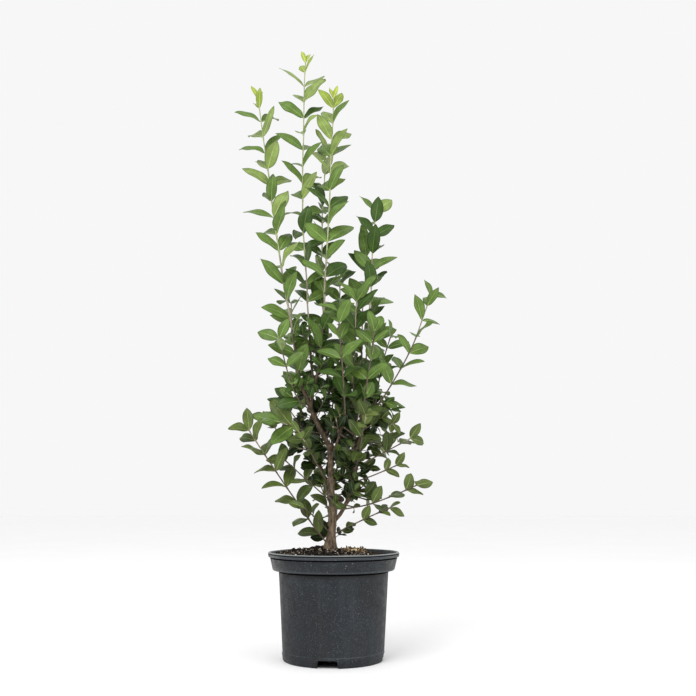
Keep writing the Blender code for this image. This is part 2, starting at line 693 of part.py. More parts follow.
def grow_twigs(mass, room, rng):
    """Side twigs from the stem's lower nodes, to both sides in turn, each about as long as a leaf."""
    for index in range(mass.twigs):
        along = TWIG_FOOT + TWIG_SPAN * index / mass.twigs
        turn = mass.turn + index * TWIG_TURN
        for side, hand in ((0, "right"), (math.pi, "left")):
            axis = direction_at(mass.stem, along, turn + side, rng.uniform(*TWIG_ANGLES))
            foot = mass.stem.at(along)
            tip = foot + axis * mass.leaf * rng.uniform(*TWIG_STRETCH)
            name = f"{mass.stem.name}_{index}_{hand}"
            twig = limb_through(name, [foot, (foot + tip) / 2, tip], TWIG_RADIUS, TWIG_TIP_RADIUS, RING_STEP)
            if room.free_for_twig(mass.stem.name, twig):
                room.add(mass.stem.name, None, tube(twig, STEM_SIDES))
                mass.limbs.append(twig)


def planned_mass(name, row, limbs):
    parent, along, bend, tip, leaf, bare, turn = row
    foot = limbs[parent].at(along)
    thick = STEM_RADIUS + STEM_THICKENING * (Vector(tip) - foot).length
    radius = min(limbs[parent].radius(along) - 2 * GAP, thick)
    stem = limb_through(name, [foot, bend, tip], radius, STEM_TIP_RADIUS, RING_STEP, SWAY)
    twigs = BUSH_TWIGS if name in BUSHES else 0
    youngness = 1.0 if name in GROWING else GROWN_YOUNGNESS
    return Mass(stem, leaf, bare, math.radians(turn), twigs, youngness, [stem])


def make_boughs(limbs):
    """The bare limbs; each starts in its parent's middle and is cut clear of its parent's surface."""
    for name, (parent, along, bends, foot_radius, tip_radius) in BOUGHS.items():
        line = [limbs[parent].at(along), *bends]
        limbs[name] = limb_through(name, line, foot_radius, tip_radius, BOUGH_RING_STEP)
        bough = add_object(name, *tube(limbs[name], BOUGH_SIDES))
        cut_from_parent(bough, parent, limbs)
        finish(bough, *BARK, is_round=True)


def cut_from_parent(obj, parent, limbs):
    shape = trunk_shape if parent == "trunk" else None
    sides = TRUNK_SIDES if parent == "trunk" else BOUGH_SIDES
    cutters = [add_object("cutter", *tube(limbs[parent], sides, PARENT_GAP, shape))]
    if parent == "leader":
        cutters.append(add_object("cutter_trunk", *tube(limbs["trunk"], TRUNK_SIDES, GAP, trunk_shape)))
    apply_boolean(obj, cutters, "DIFFERENCE")
    keep_largest(obj)


def make_mass(mass, parent, limbs):
    """Stem, twigs and leaves joined into one solid."""
    body = add_object(mass.stem.name, *tube(mass.stem, STEM_SIDES))
    cut_from_parent(body, parent, limbs)
    parts = [add_object("twig", *tube(limb, STEM_SIDES)) for limb in mass.limbs[1:]]
    parts += [add_object("leaf", *leaf.solid()) for leaf in mass.leaves]
    apply_boolean(body, parts, "UNION")
    keep_largest(body)
    finish(body, *LEAF_GREEN)


def grow_crown(limbs):
    """Plans every mass: first all stems, then the twigs with their leaves, then the stems' own leaves."""
    room = Room(limbs)
    for name, limb in limbs.items():
        room.add(name, None, tube(limb, TRUNK_SIDES if name == "trunk" else BOUGH_SIDES, GAP))
    masses = [planned_mass(name, row, limbs) for name, row in MASSES.items()]
    for mass in masses:
        room.add(mass.stem.name, None, tube(mass.stem, STEM_SIDES, GAP))
    for mass in masses:
        rng = random.Random(mass.stem.name + " twigs")
        grow_twigs(mass, room, rng)
        for twig in mass.limbs[1:]:
            grow_leaves(mass, masses, room, twig, rng, mass.leaf * TWIG_LEAF, TWIG_BARE, TWIG_LEAF_TURN)
    for mass in masses:
        rng = random.Random(mass.stem.name + " leaves")
        grow_leaves(mass, masses, room, mass.stem, rng, mass.leaf, mass.bare, mass.turn)
    return masses


def main():
    for obj in list(bpy.data.objects):
        bpy.data.objects.remove(obj)
    make_pot()
    make_soil()
    trunk, leader = make_trunk()
    limbs = {"trunk": trunk, "leader": leader}
    make_boughs(limbs)
    for mass in grow_crown(limbs):
        make_mass(mass, MASSES[mass.stem.name][0], limbs)


main()
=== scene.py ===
"""Dresses the potted privet: bark, twigs and leaves grown by the part's own rule, a nursery pot and its soil.

Metres, +Z up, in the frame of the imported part. The shrub's front faces -Y.
"""

import itertools
import math
import random
from dataclasses import dataclass, field
from math import atan2, cos, hypot, inf, pi, radians, sin

import bmesh
import bpy
import numpy as np
from mathutils import Matrix, Vector, noise
from mathutils.bvhtree import BVHTree
from mathutils.geometry import intersect_point_line


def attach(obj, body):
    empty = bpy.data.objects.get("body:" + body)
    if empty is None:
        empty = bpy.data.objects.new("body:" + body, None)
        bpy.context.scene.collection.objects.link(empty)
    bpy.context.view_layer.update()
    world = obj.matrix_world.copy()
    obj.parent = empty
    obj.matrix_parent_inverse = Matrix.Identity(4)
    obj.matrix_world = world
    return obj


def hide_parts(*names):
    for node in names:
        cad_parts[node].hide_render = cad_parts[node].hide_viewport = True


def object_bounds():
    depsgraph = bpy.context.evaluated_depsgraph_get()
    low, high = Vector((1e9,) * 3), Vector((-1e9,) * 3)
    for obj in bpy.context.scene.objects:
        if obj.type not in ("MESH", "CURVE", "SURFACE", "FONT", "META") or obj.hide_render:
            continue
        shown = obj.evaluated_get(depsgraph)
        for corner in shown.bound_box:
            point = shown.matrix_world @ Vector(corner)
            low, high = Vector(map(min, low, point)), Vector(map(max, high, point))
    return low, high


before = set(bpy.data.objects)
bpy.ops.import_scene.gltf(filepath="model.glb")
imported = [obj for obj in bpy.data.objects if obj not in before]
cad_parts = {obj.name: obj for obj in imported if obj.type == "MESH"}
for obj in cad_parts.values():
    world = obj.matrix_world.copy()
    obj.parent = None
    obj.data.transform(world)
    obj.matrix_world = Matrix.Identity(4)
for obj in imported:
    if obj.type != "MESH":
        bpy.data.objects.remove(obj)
cad_low, cad_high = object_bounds()

# The photograph's camera: where it stands, how far it looks up, and its focal length in pixels
FRAME_PIXELS = 696
FOCAL_PIXELS = 800
SENSOR = 36.0
CAMERA_PLACE = (0.0246, -1.421, 0.2576)
CAMERA_PITCH = radians(10.96)

# Clearance between pieces that touch on the real plant, and the least angle of an edge that shows as sharp
GAP = 0.0003
SHARP_ANGLE = radians(50)
POT_SHARP_ANGLE = radians(40)

# Pot
POT_HEIGHT = 0.175
BASE_RADIUS = 0.085
BODY_TOP_RADIUS = 0.094
COLLAR_FOOT_RADIUS = 0.1045
COLLAR_TOP_RADIUS = 0.109
LIP_RADIUS = 0.1125
LIP_INNER_RADIUS = 0.1086
COLLAR_FOOT = 0.1455
LIP_FOOT = 0.1670
WALL = 0.0018
FLOOR = 0.0028
ROUNDING = 0.0012
BASE_RIB_HEIGHT = 0.0115
BASE_RIB_PROUD = 0.0008
POT_SEGMENTS = 180
NOTCHES = 4
NOTCH_TURN = radians(-95.5)
NOTCH_FOOT_WIDTH = 0.040
NOTCH_TOP_WIDTH = 0.030
NOTCH_HEIGHT = 0.012
NOTCH_INNER_RADIUS = 0.074

# The rim's uneven wave: its height, how many bends it has, and a seed for each way that it moves
RIM_WAVER = 0.0009
RIM_LIFT_SHARE = 0.6
RIM_BENDS = 2.2
RIM_OUT_SEED = 0.3
RIM_UP_SEED = 7.1

# Painted shade lines under the pot's collar, lip and rim, where near-black faces stand for shadow
COLLAR_SHADE_LINE = 0.0036
LIP_SHADE_LINE = 0.0021
RIM_SHADE_FOOT = 0.0034
RIM_SHADE_TOP = 0.0020

# Soil
SOIL_EDGE = 0.1695
SOIL_CROWN = 0.1765

# Trunk, with the flare of its roots and the callus round its cut, and the leader that rises beside the cut
TRUNK_FOOT = Vector((-0.0066, 0.0, SOIL_CROWN + GAP))
TRUNK_LINE = [TRUNK_FOOT, (-0.0022, 0.0, 0.232), (0.0008, 0.003, 0.268)]
TRUNK_RADII = (0.0080, 0.0072)
FLARE = 0.0055
FLARE_HEIGHT = 0.034
ROOT_RIDGES = 4
RIDGE_DEPTH = 0.28
CALLUS = 0.0016
CALLUS_HEIGHT = 0.010
LEADER = ("trunk", 0.6, [(-0.0045, -0.005, 0.286), (-0.0070, -0.010, 0.354)], 0.0060, 0.0048)

# Limbs, as the part's rule grows them
RING_STEP = 0.040
BOUGH_RING_STEP = 0.022
TRUNK_RING_STEP = 0.011
TRUNK_SIDES = 12
BOUGH_SIDES = 6
STEM_SIDES = 3
STEM_RADIUS = 0.0010
STEM_THICKENING = 0.0019
STEM_TIP_RADIUS = 0.0010
SWAY = 0.0011
HEADING_STEP = 0.02
STEEP = sin(radians(45))

BUSH_TWIGS = 2
TWIG_FOOT = 0.22
TWIG_SPAN = 0.62
TWIG_TURN = radians(137)
TWIG_ANGLES = (radians(50), radians(66))
TWIG_STRETCH = (0.8, 1.15)
TWIG_RADII = (0.0014, 0.0011)
TWIG_LEAF = 0.9
TWIG_BARE = 0.3
TWIG_LEAF_TURN = 0.6

LEAF_WIDEST = 0.46
LEAF_HALF_WIDTH = 0.30
LEAF_THICKNESS = 0.028
LEAF_CURL = radians(30)
ROOT_DEPTH = 0.0004

NODE_SPACING = 0.033
LAST_PAIR_BACK = 0.0025
TOP_SPACING = 0.62
SPACING_GROWTH = 1.45
LOWEST_PAIR = 0.2
PAIR_SWING = 0.3
LEAF_ANGLE = radians(47)
LEAF_LEAN = 0.26
LEAF_ROLL = radians(20)
LEAF_STRETCH = (0.84, 1.10)

# Shoots that are still growing, and the young pairs at their tips
GROWING = ("shoot_left", "shoot_tall", "shoot_centre")
YOUNG_PAIRS = 2
YOUNG_LEAF_ANGLE = radians(22)
YOUNG_SHORTER = 0.50
GROWN_YOUNGNESS = 0.2

# Where the light comes from, on the open shoots and in the low crown
OPEN_LIGHT = Vector((0.05, -1.0, 0.40))
SHADE_LIGHT = Vector((0.0, -0.85, 0.55))
OPEN_HEIGHT = 0.55
SHADE_HEIGHT = 0.28
LIGHT_PULL = 2.2

# Room between masses, and the shares of some limbs that leaves, and then finer twigs, leave open to view
CLEARANCE = 0.0007
CELL = 0.03
SPACE_SLACK = 0.016
SPACE_PROBE = 0.8
RETRIES = (0.0, 0.45, -0.45, 0.9, -0.9)
OPEN_LIMBS = {"trunk": (0.05, 0.8), "leader": (0.3, 1.0), "bough_left": (0.0, 0.9)}
OPEN_TO_TWIGS = {"trunk": (0.05, 1.0), "leader": (0.3, 1.0), "bough_left": (0.0, 0.9)}
OPEN_STEPS = 8
OPEN_MARGIN = 0.004
OPEN_LEAF_SHARE = 0.18
OPEN_PROBES = (0.2, 0.5, 0.85)

# Boughs: the limb each leaves, how far up that limb, its bends and tip, and its radius at both ends
BOUGHS = {
    "bough_left": ("leader", 0.99, [(-0.032, -0.013, 0.4), (-0.06, -0.012, 0.468)], 0.0047, 0.0032),
    "bough_centre": ("bough_left", 0.6, [(-0.036, -0.018, 0.458), (-0.026, -0.018, 0.495)], 0.0028, 0.0024),
    "bough_tall": ("bough_centre", 0.5, [(-0.043, -0.002, 0.52), (-0.046, 0, 0.575)], 0.0023, 0.002),
    "bough_right": (
        "trunk", 0.5, [(0.018, -0.002, 0.25), (0.033, 0, 0.3), (0.032, -0.002, 0.392)], 0.0034, 0.0027
    ),
    "bough_right_tall": ("bough_right", 0.86, [(0.047, 0.006, 0.44), (0.057, 0.006, 0.51)], 0.0024, 0.002),
    "bough_far_right": ("bough_right", 0.7, [(0.056, -0.004, 0.398), (0.085, 0.001, 0.438)], 0.0023, 0.0019),
    "bough_back": ("leader", 0.62, [(-0.004, 0.026, 0.365), (-0.01, 0.056, 0.43)], 0.0029, 0.0023),
    "bough_back_left": ("leader", 0.36, [(-0.03, 0.022, 0.335), (-0.055, 0.05, 0.385)], 0.0024, 0.0019),
    "bough_back_right": ("bough_right", 0.36, [(0.042, 0.035, 0.325), (0.046, 0.062, 0.37)], 0.0023, 0.0019),
    "bough_front": ("leader", 0.8, [(0.008, -0.03, 0.368), (0.02, -0.048, 0.41)], 0.0024, 0.0019),
}

# Masses: the limb each leaves, how far up that limb, the bend and tip of its stem, the length of its leaves,
# the bare share of its stem, and the turn in degrees of its top pair of leaves
SHOOTS = {
    "shoot_left": ("bough_left", 0.99, (-0.104, 0.0, 0.722), (-0.15, 0.008, 1.028), 0.06, 0.02, 28),
    "shoot_tall": ("bough_tall", 0.99, (-0.061, 0, 0.81), (-0.058, 0, 1.099), 0.059, 0.02, 30),
    "shoot_centre": ("bough_centre", 0.99, (-0.013, -0.024, 0.72), (-0.003, -0.03, 1.008), 0.061, 0.02, -65),
    "shoot_centre_back": ("bough_back", 0.99, (-0.026, 0.056, 0.72), (-0.018, 0.05, 0.94), 0.058, 0.02, 70),
    "shoot_right_tall": ("bough_right_tall", 0.99, (0.068, 0.01, 0.66), (0.076, 0.018, 0.799), 0.06, 0.02, 8),
    "shoot_right_back": (
        "bough_right_tall", 0.62, (0.052, 0.046, 0.6), (0.062, 0.052, 0.742), 0.057, 0.1, 40
    ),
    "shoot_right_short": ("bough_right", 0.99, (0.034, -0.022, 0.48), (0.04, -0.036, 0.612), 0.06, 0.04, 30),
    "shoot_far_right": (
        "bough_far_right", 0.99, (0.132, 0.004, 0.516), (0.178, 0.01, 0.634), 0.048, 0.04, 22
    ),
    "shoot_far_right_low": (
        "bough_far_right", 0.8, (0.086, 0.034, 0.5), (0.104, 0.04, 0.562), 0.044, 0.1, 60
    ),
    "shoot_back": ("bough_back", 0.8, (0.006, 0.094, 0.52), (0.008, 0.112, 0.7), 0.052, 0.08, 15),
    "shoot_back_left": ("bough_back_left", 0.99, (-0.074, 0.078, 0.5), (-0.086, 0.09, 0.64), 0.052, 0.04, 35),
    "shoot_back_right": (
        "bough_back_right", 0.99, (0.062, 0.088, 0.46), (0.078, 0.106, 0.59), 0.05, 0.04, 55
    ),
    "shoot_front": ("bough_front", 0.99, (0.016, -0.068, 0.48), (0.008, -0.078, 0.585), 0.05, 0.04, 40),
    "shoot_front_right": ("bough_right", 0.8, (0.054, -0.05, 0.44), (0.07, -0.07, 0.55), 0.048, 0.08, 65),
    "shoot_front_left": ("bough_left", 0.55, (-0.07, -0.04, 0.45), (-0.096, -0.056, 0.54), 0.046, 0.1, 10),
}

SPRAYS = {
    "spray_left": ("trunk", 0.06, (-0.066, -0.023, 0.262), (-0.146, -0.045, 0.381), 0.046, 0.08, 60),
    "spray_left_big": ("bough_left", 0.22, (-0.062, -0.022, 0.384), (-0.09, -0.04, 0.394), 0.066, 0.4, 80),
    "spray_left_low": ("leader", 0.22, (-0.048, -0.016, 0.298), (-0.084, -0.028, 0.33), 0.04, 0.2, 20),
    "spray_left_foot": ("trunk", 0.3, (-0.026, -0.02, 0.228), (-0.05, -0.036, 0.25), 0.036, 0.3, 40),
    "spray_right_low": ("bough_right", 0.17, (0.07, -0.014, 0.258), (0.144, -0.028, 0.288), 0.038, 0.3, 75),
    "spray_right_stub": ("trunk", 0.28, (0.052, -0.014, 0.23), (0.098, -0.022, 0.25), 0.031, 0.2, 30),
    "spray_right_mid": ("bough_right", 0.44, (0.072, -0.015, 0.306), (0.11, -0.02, 0.322), 0.033, 0.5, 50),
    "spray_right": ("bough_right", 0.58, (0.084, 0.012, 0.344), (0.138, 0.02, 0.372), 0.042, 0.5, 15),
    "spray_back_low": ("trunk", 0.42, (-0.012, 0.062, 0.25), (-0.03, 0.13, 0.3), 0.042, 0.2, 25),
    "spray_back_right": ("bough_back_right", 0.6, (0.08, 0.092, 0.352), (0.108, 0.13, 0.392), 0.042, 0.2, 5),
    "spray_back_left": (
        "bough_back_left", 0.62, (-0.09, 0.07, 0.372), (-0.126, 0.092, 0.412), 0.042, 0.2, 45
    ),
    "spray_back": ("bough_back", 0.45, (0.01, 0.09, 0.4), (0.014, 0.135, 0.45), 0.042, 0.2, 65),
    "spray_front_left": ("leader", 0.4, (-0.036, -0.06, 0.336), (-0.056, -0.112, 0.372), 0.032, 0.4, 35),
    "spray_front_right": ("bough_right", 0.5, (0.046, -0.056, 0.352), (0.054, -0.11, 0.4), 0.038, 0.3, 55),
}

BUSHES = {
    "bush_left": ("leader", 0.78, (-0.05, 0.012, 0.38), (-0.092, 0.018, 0.436), 0.037, 0.25, 10),
    "bush_front": ("bough_front", 0.55, (0.01, -0.046, 0.374), (0.004, -0.064, 0.4), 0.03, 0.25, 40),
    "bush_front_right": ("bough_right", 0.66, (0.036, -0.034, 0.38), (0.044, -0.052, 0.41), 0.035, 0.25, 70),
    "bush_right": ("bough_right", 0.77, (0.062, 0.022, 0.39), (0.1, 0.034, 0.438), 0.038, 0.25, 20),
    "bush_back": ("bough_back", 0.25, (-0.028, 0.052, 0.396), (-0.04, 0.072, 0.44), 0.035, 0.25, 50),
    "bush_centre": ("bough_centre", 0.2, (0, 0.014, 0.44), (0.006, 0.02, 0.476), 0.035, 0.25, 30),
    "bush_low": ("leader", 0.1, (-0.012, -0.024, 0.276), (-0.004, -0.044, 0.286), 0.026, 0.25, 60),
    "bush_low_right": ("bough_right", 0.14, (0.037, 0.016, 0.272), (0.057, 0.028, 0.293), 0.024, 0.25, 18),
    "bush_low_back": ("leader", 0.16, (0, 0.036, 0.3), (0.01, 0.064, 0.336), 0.032, 0.25, 35),
}

MASSES = {**SHOOTS, **SPRAYS, **BUSHES}

# Side shoots in the leaf axils, which the part leaves out: none above one height, and most below another
BARE_AXILS = 0.80
FULL_AXILS = 0.50
LOW_HEIGHT = 0.24
RICH_HEIGHT = 0.38
LOW_AXILS = 0.45
CROWN_RADIUS = 0.12
OUTER_SPARSER = 0.8
AXIL_LENGTHS = (0.004, 0.026)
AXIL_STRETCH = (0.7, 1.2)
AXIL_LEAVES = (0.010, 0.027)
AXIL_LEAF_STRETCH = (0.75, 1.2)
AXIL_CHANCES = (0.35, 0.95)
AXIL_ANGLES = (radians(25), radians(50))
AXIL_SWING = 0.5
TIP_AXILS = 0.93
SPRAY_AXILS = 0.2
PAIR_STEPS = (0.3, 0.8)
SIDE_RADII = (0.0008, 0.0005)
SIDE_RETRIES = (0.0, 0.7, -0.7)
SIDE_ROLL = 1.6
SIDE_TIP = 0.02
SIDE_LEAF_SPAN = 0.75
TOP_SMALLER = 0.25
TOP_STEEPER = 0.5

# Leafy twigs along the boughs in the heart of the crown
INNER_STEP = 0.009
TRUNK_TWIG_STEP = 0.008
INNER_BARE = 0.10
INNER_SWING = (0.1, 0.9)
INNER_LENGTHS = (0.014, 0.045)
INNER_LEAVES = (0.014, 0.034)
INNER_ANGLES = (radians(42), radians(75))
INNER_PAIR_STEP = 0.012

# Leaf blades: shares of the length, angles, and thicknesses in metres
YOUNG_NARROWER = 0.30
BROADER = 0.18
BROAD_TOP = 0.60
BROAD_SPAN = 0.28
BASE_TAPER = 0.72
TIP_TAPER = 0.86
LEAST_HALF_WIDTH = 0.00045
BLADE_CURL = (radians(8), radians(50))
CURL_LATER = 1.3
BLADE_FOLD = (radians(12), radians(36))
TIP_FLATTER = 0.45
BLADE_TWIST = radians(12)
BLADE_BOW = (0.0, 0.28)
BLADE_WAVE = 0.035
BLADE_WAVES = 1.6
BLADE_WAVE_SHIFT = (0.5, 2.5)
BLADE_THICKNESS = 0.00034
MARGIN_THINNER = 0.55
PETIOLE = 0.07
PETIOLE_THICKNESS = 0.0011
BLADE_START = 0.17
STALK_STATIONS = (0, 0.6, 1.25)
TIPWARD = 1.25
RIB_WIDTH = 0.0008
RIB_RIDGE = 0.0005
RIB_GROOVE = 0.00012
VEINS = 7
VEIN_SLANT = 0.62
VEIN_DEPTH = 0.00035

# Stations along and columns across a blade, and its half width, by whether the leaf is small
BLADES = {False: ((18, 12), (0.20, 0.275)), True: ((12, 8), (0.24, 0.29))}
PIECE_TRIANGLES = 190000
LEAF_MAP = "leaf"
RIB_SLOT = 2
TONE_SLOTS = 3

# Colours as the eye reads them. Leaves: upper side, underside and midrib of each tone; dark, deep, mid and
# fresh are partly painted light and shade, given out by where a leaf sits in the crown
LEAF_TONES = {
    "dark": ((27, 42, 8), (58, 77, 32), (60, 80, 30)),
    "deep": ((58, 84, 30), (98, 119, 70), (100, 122, 57)),
    "mid": ((91, 118, 52), (131, 149, 97), (140, 162, 88)),
    "fresh": ((125, 146, 76), (156, 170, 116), (170, 185, 112)),
    "young": ((162, 179, 64), (178, 194, 88), (200, 209, 118)),
    "bright": ((137, 157, 60), (162, 177, 86), (180, 195, 106)),
    "olive": ((87, 103, 48), (121, 134, 78), (130, 143, 80)),
    "moss": ((64, 79, 33), (102, 116, 65), (103, 118, 58)),
}

# Which tone a leaf takes as its value passes the steps: at the top, in the middle and low in the crown
TONE_STEPS = (0.30, 0.55, 0.82)
TOP_TONES = ("dark", "deep", "mid", "fresh")
MIDDLE_TONES = ("dark", "deep", "mid", "mid")
LOW_TONES = ("dark", "moss", "olive", "mid")
FRESH_FLOOR = 0.65
LOW_TOP = 0.42

# What a leaf's value comes from: its height, how far out it stands, its age and size, and chance. Height,
# reach and size, and the SUNLIT lift, are partly painted light and shade: darker in the heart of the crown
# and on small inner leaves, lighter outside, near the top and on big leaves
TONE_HEIGHTS = (0.21, 0.30, 0.38, 0.44, 0.50, 0.58, 0.72, 0.86, 1.02)
HEIGHT_TONES = (0.36, 0.30, 0.03, 0.28, 0.42, 0.32, 0.43, 0.64, 0.76)
OUTER_TONE = 0.45
OUTER_HEIGHTS = (0.55, 0.80)
OUTER_SHARES = (1.0, 0.3)
YOUNG_LIFT = 0.3
SMALL_DROP = 0.10
BIG_LIFT = 5.0
BIG_LEAF = 0.052
MASS_MOOD = 0.08
LEAF_MOOD = 0.15
MOODY_HEIGHTS = (0.44, 0.58, 0.90)
MOODINESS = (1.0, 0.6, 2.3)
SUNLIT = {"spray_left_big": 0.40}
YOUNG_FLOOR = 0.80
YOUNG_TONE = 0.4
YOUNGEST_TONE = 0.7

# Bark: dark, pale and crack colours, the scale of the grain, and the depth of the relief
BARKS = {
    "trunk_bark": ((74, 62, 49), (134, 117, 95), (38, 30, 24), 260, 0.0006),
    # The knob's bark is the trunk's bark darkened: painted shade round the cut
    "knob_bark": ((36, 30, 25), (74, 63, 51), (20, 16, 13), 260, 0.0006),
    "bough_bark": ((68, 56, 45), (112, 95, 76), (42, 33, 27), 420, 0.0003),
}
CUT_WOOD = ((84, 80, 66), (132, 127, 112))

# Relief of the bark: scale and stretch of each noise, then how much of it shows
CRACKS = (420, 4.0)
FINE_LUMPS = (900, 1.6)
LUMPS = (190, 2.2)
PORES = (1300, 0.55)
CRACK_WIDTH = 0.45
CRACK_SHARE = 0.9
LUMP_SHARE = 0.55
FINE_LUMP_SHARE = 0.5
PORE_LEVEL = 0.35
PORE_SHARE = 1.2

# Meshes of the wood, with a swollen foot on each bough, and scars where leaves once sat
TRUNK_STEP = 0.0011
TRUNK_FINE_SIDES = 56
LEADER_FINE_SIDES = 32
BOUGH_STEP = 0.0022
BOUGH_FINE_SIDES = 18
TRUNK_RELIEF = 0.0006
LEADER_RELIEF = 0.00048
BOUGH_RELIEF = 0.0003
COLLAR_REACH = 0.012
COLLAR_SWELL = 0.0012
SCAR_SPACING = 0.021
SCAR_SWELL = 0.0004

# The knob round the trunk's cut, the dome of the cut within it, and how far below the cut the bark is
# darkened as painted shade
KNOB_SIDE = Vector((0.35, -0.94, 0.0))
KNOB_SWELL = 0.0125
KNOB_HEIGHT = 0.0115
KNOB_RISE = 1.8
KNOB_TOP = 0.75
KNOB_SHADE_SPAN = 0.0085
KNOB_LUMPS = 0.0012
KNOB_LUMP_SCALE = 260
KNOB_LUMP_REACH = 0.01
CUT_RINGS = 9
CUT_SLOT = 1
KNOB_SHADE_SLOT = 2
CUT_DOME = 0.0056

# Twigs: dark and pale colour of each, from the foot of a shoot to its tip, and the swelling at the nodes
TWIG_COLOURS = {
    "twig_brown": ((72, 62, 52), (112, 98, 82)),
    "twig_tan": ((128, 118, 98), (170, 162, 140)),
    "twig_green": ((136, 146, 100), (178, 184, 140)),
}
RIPE_HEIGHT = 0.42
RIPE_RATE = 7
TAN_ALONG = 0.8
TAN_HEIGHT = 0.33
STEM_STEP = 0.004
STEM_FINE_SIDES = 8
SIDE_STEP = 0.006
SIDE_FINE_SIDES = 5
NODE_SWELL = 0.45
NODE_REACH = 0.004

# Colours of the pot, and the places of its painted shadow under the collar, its worn edges, its pale line low
# on the wall, its painted rim highlight, and its scuffs with painted sheen
PLASTIC_DARK = (15, 18, 21)
PLASTIC_PALE = (24, 29, 35)
DUST = (84, 91, 97)
SPLASH = (172, 170, 160)
SCUFF_AND_SHEEN = (136, 136, 128)
RIM_HIGHLIGHT = (140, 144, 143)
COLLAR_SHADE = 0.0095
WORN_EDGE = 0.0040
RIM_HIGHLIGHT_WIDTH = 0.0007
FOOT_LINE = 0.0156
FOOT_LINE_WIDTH = 0.0011
SCUFF_AND_SHEEN_START = 0.078
SCUFF_AND_SHEEN_END = 0.103
SCUFF_AND_SHEEN_REACH = 0.012
RIGHT_SCUFFS_AND_SHEEN = 0.5

# Soil surface: its mesh, its lumps as (scale, height, seed), its heaps as (x, y, radius, rise), and a dip
BED_RINGS = 60
BED_SIDES = 150
BED_MIDDLE = 0.0008
BED_LUMP = 0.0011
BED_LUMPS = [(210, 1.3, 1.5), (560, 1.0, 4.5)]
# The bed's near-black is the soil's dark colour, darkened further as painted shade for the gaps between
# crumbs
BED_SOIL_AND_SHADE_COLOUR = (11, 9, 8)
SOIL_FLAT_RADIUS = 0.017
HEAPS = [(0.038, -0.004, 0.018, 0.0035), (-0.026, 0.006, 0.027, 0.0042), (-0.068, 0.010, 0.018, 0.0040)]
DIP_START = 0.050
DIP_END = 0.074
DIP_DEPTH = 0.0042

# Loose soil: name, colour, count, sizes, stretch, roundness, centre, reach, and how high it piles up
CRUMB_SEED = 5
CRUMB_EDGE = LIP_INNER_RADIUS - 0.006
CRUMB_LUMPS = (0.68, 1.25)
CRUMB_SHAPES = (0.6, 1.1)
CRUMBS = [
    ("crumbs_black", (18, 15, 13), 700, (0.0012, 0.0034), (1, 1, 1), 1, (0, 0), 0.104, 0.001),
    ("crumbs_brown", (43, 36, 30), 520, (0.0012, 0.0030), (1, 1, 1), 1, (0, 0), 0.104, 0.0012),
    ("crumbs_grey", (124, 112, 98), 300, (0.0010, 0.0023), (1, 1.4, 0.8), 1, (0, 0), 0.104, 0.002),
    ("crumbs_tan", (228, 217, 196), 260, (0.0007, 0.0014), (1, 1.6, 0.7), 1, (0, 0), 0.100, 0.0015),
    ("chips_gold", (200, 182, 142), 64, (0.0010, 0.0021), (1, 2.4, 0.5), 1, (0.036, -0.010), 0.022, 0.003),
    ("chips_russet", (104, 82, 58), 80, (0.0011, 0.0026), (1, 2.4, 0.5), 1, (0.036, -0.010), 0.024, 0.003),
    ("chips_brown", (72, 60, 48), 150, (0.0014, 0.0034), (1, 2.2, 0.5), 1, (0.0, 0.0), 0.100, 0.002),
    ("lumps_left", (40, 33, 28), 46, (0.0020, 0.0040), (1, 1, 0.8), 2, (-0.026, 0.008), 0.016, 0.003),
]

# Stage: the lights are (name, place, size, power in watts)
FLOOR_SIZE = 30
SKY_COLOUR = (1.0, 1.0, 1.0, 1.0)
SKY_STRENGTH = 0.93
LIT_POINT = Vector((0.0, 0.0, 0.55))
LIGHTS = [
    ("key", (-1.1, -1.9, 2.4), 1.6, 38),
    ("fill", (1.8, -1.4, 1.2), 1.8, 14),
]


@dataclass
class Limb:
    """A tapering stem along a smooth line."""

    name: str
    line: list
    foot_radius: float
    tip_radius: float

    def __post_init__(self):
        self.reach = [0.0]
        for start, end in zip(self.line, self.line[1:]):
            self.reach.append(self.reach[-1] + (end - start).length)
        self.length = self.reach[-1]

    def share(self, i):
        """The share of the length that lies below a place of the line."""
        return self.reach[i] / self.length

    def at(self, along):
        """The place at a share of the length."""
        wanted = along * self.length
        for i, done in enumerate(self.reach[1:]):
            if wanted <= done or i == len(self.line) - 2:
                part = (wanted - self.reach[i]) / (done - self.reach[i])
                return self.line[i].lerp(self.line[i + 1], part)

    def heading(self, along):
        low, high = max(0.0, along - HEADING_STEP), min(1.0, along + HEADING_STEP)
        return (self.at(high) - self.at(low)).normalized()

    def frame(self, along):
        """The heading and two directions square to it, the same way round all along the limb."""
        heading = self.heading(along)
        steep = abs((self.line[-1] - self.line[0]).normalized().z) > STEEP
        reference = Vector((1, 0, 0)) if steep else Vector((0, 0, 1))
        first = (reference - heading * reference.dot(heading)).normalized()
        return heading, first, heading.cross(first)

    def ring(self, i, sides):
        """Angles round a place of the line, each with its direction."""
        _, first, second = self.frame(self.share(i))
        angles = [2 * pi * k / sides for k in range(sides)]
        return [(angle, first * cos(angle) + second * sin(angle)) for angle in angles]

    def radius(self, along):
        return between(self.foot_radius, self.tip_radius, along)

    def distance(self, point):
        """How far a point is from the limb's line."""
        nearest = inf
        for start, end in zip(self.line, self.line[1:]):
            _, part = intersect_point_line(point, start, end)
            nearest = min(nearest, (point - start.lerp(end, clamped(part))).length)
        return nearest


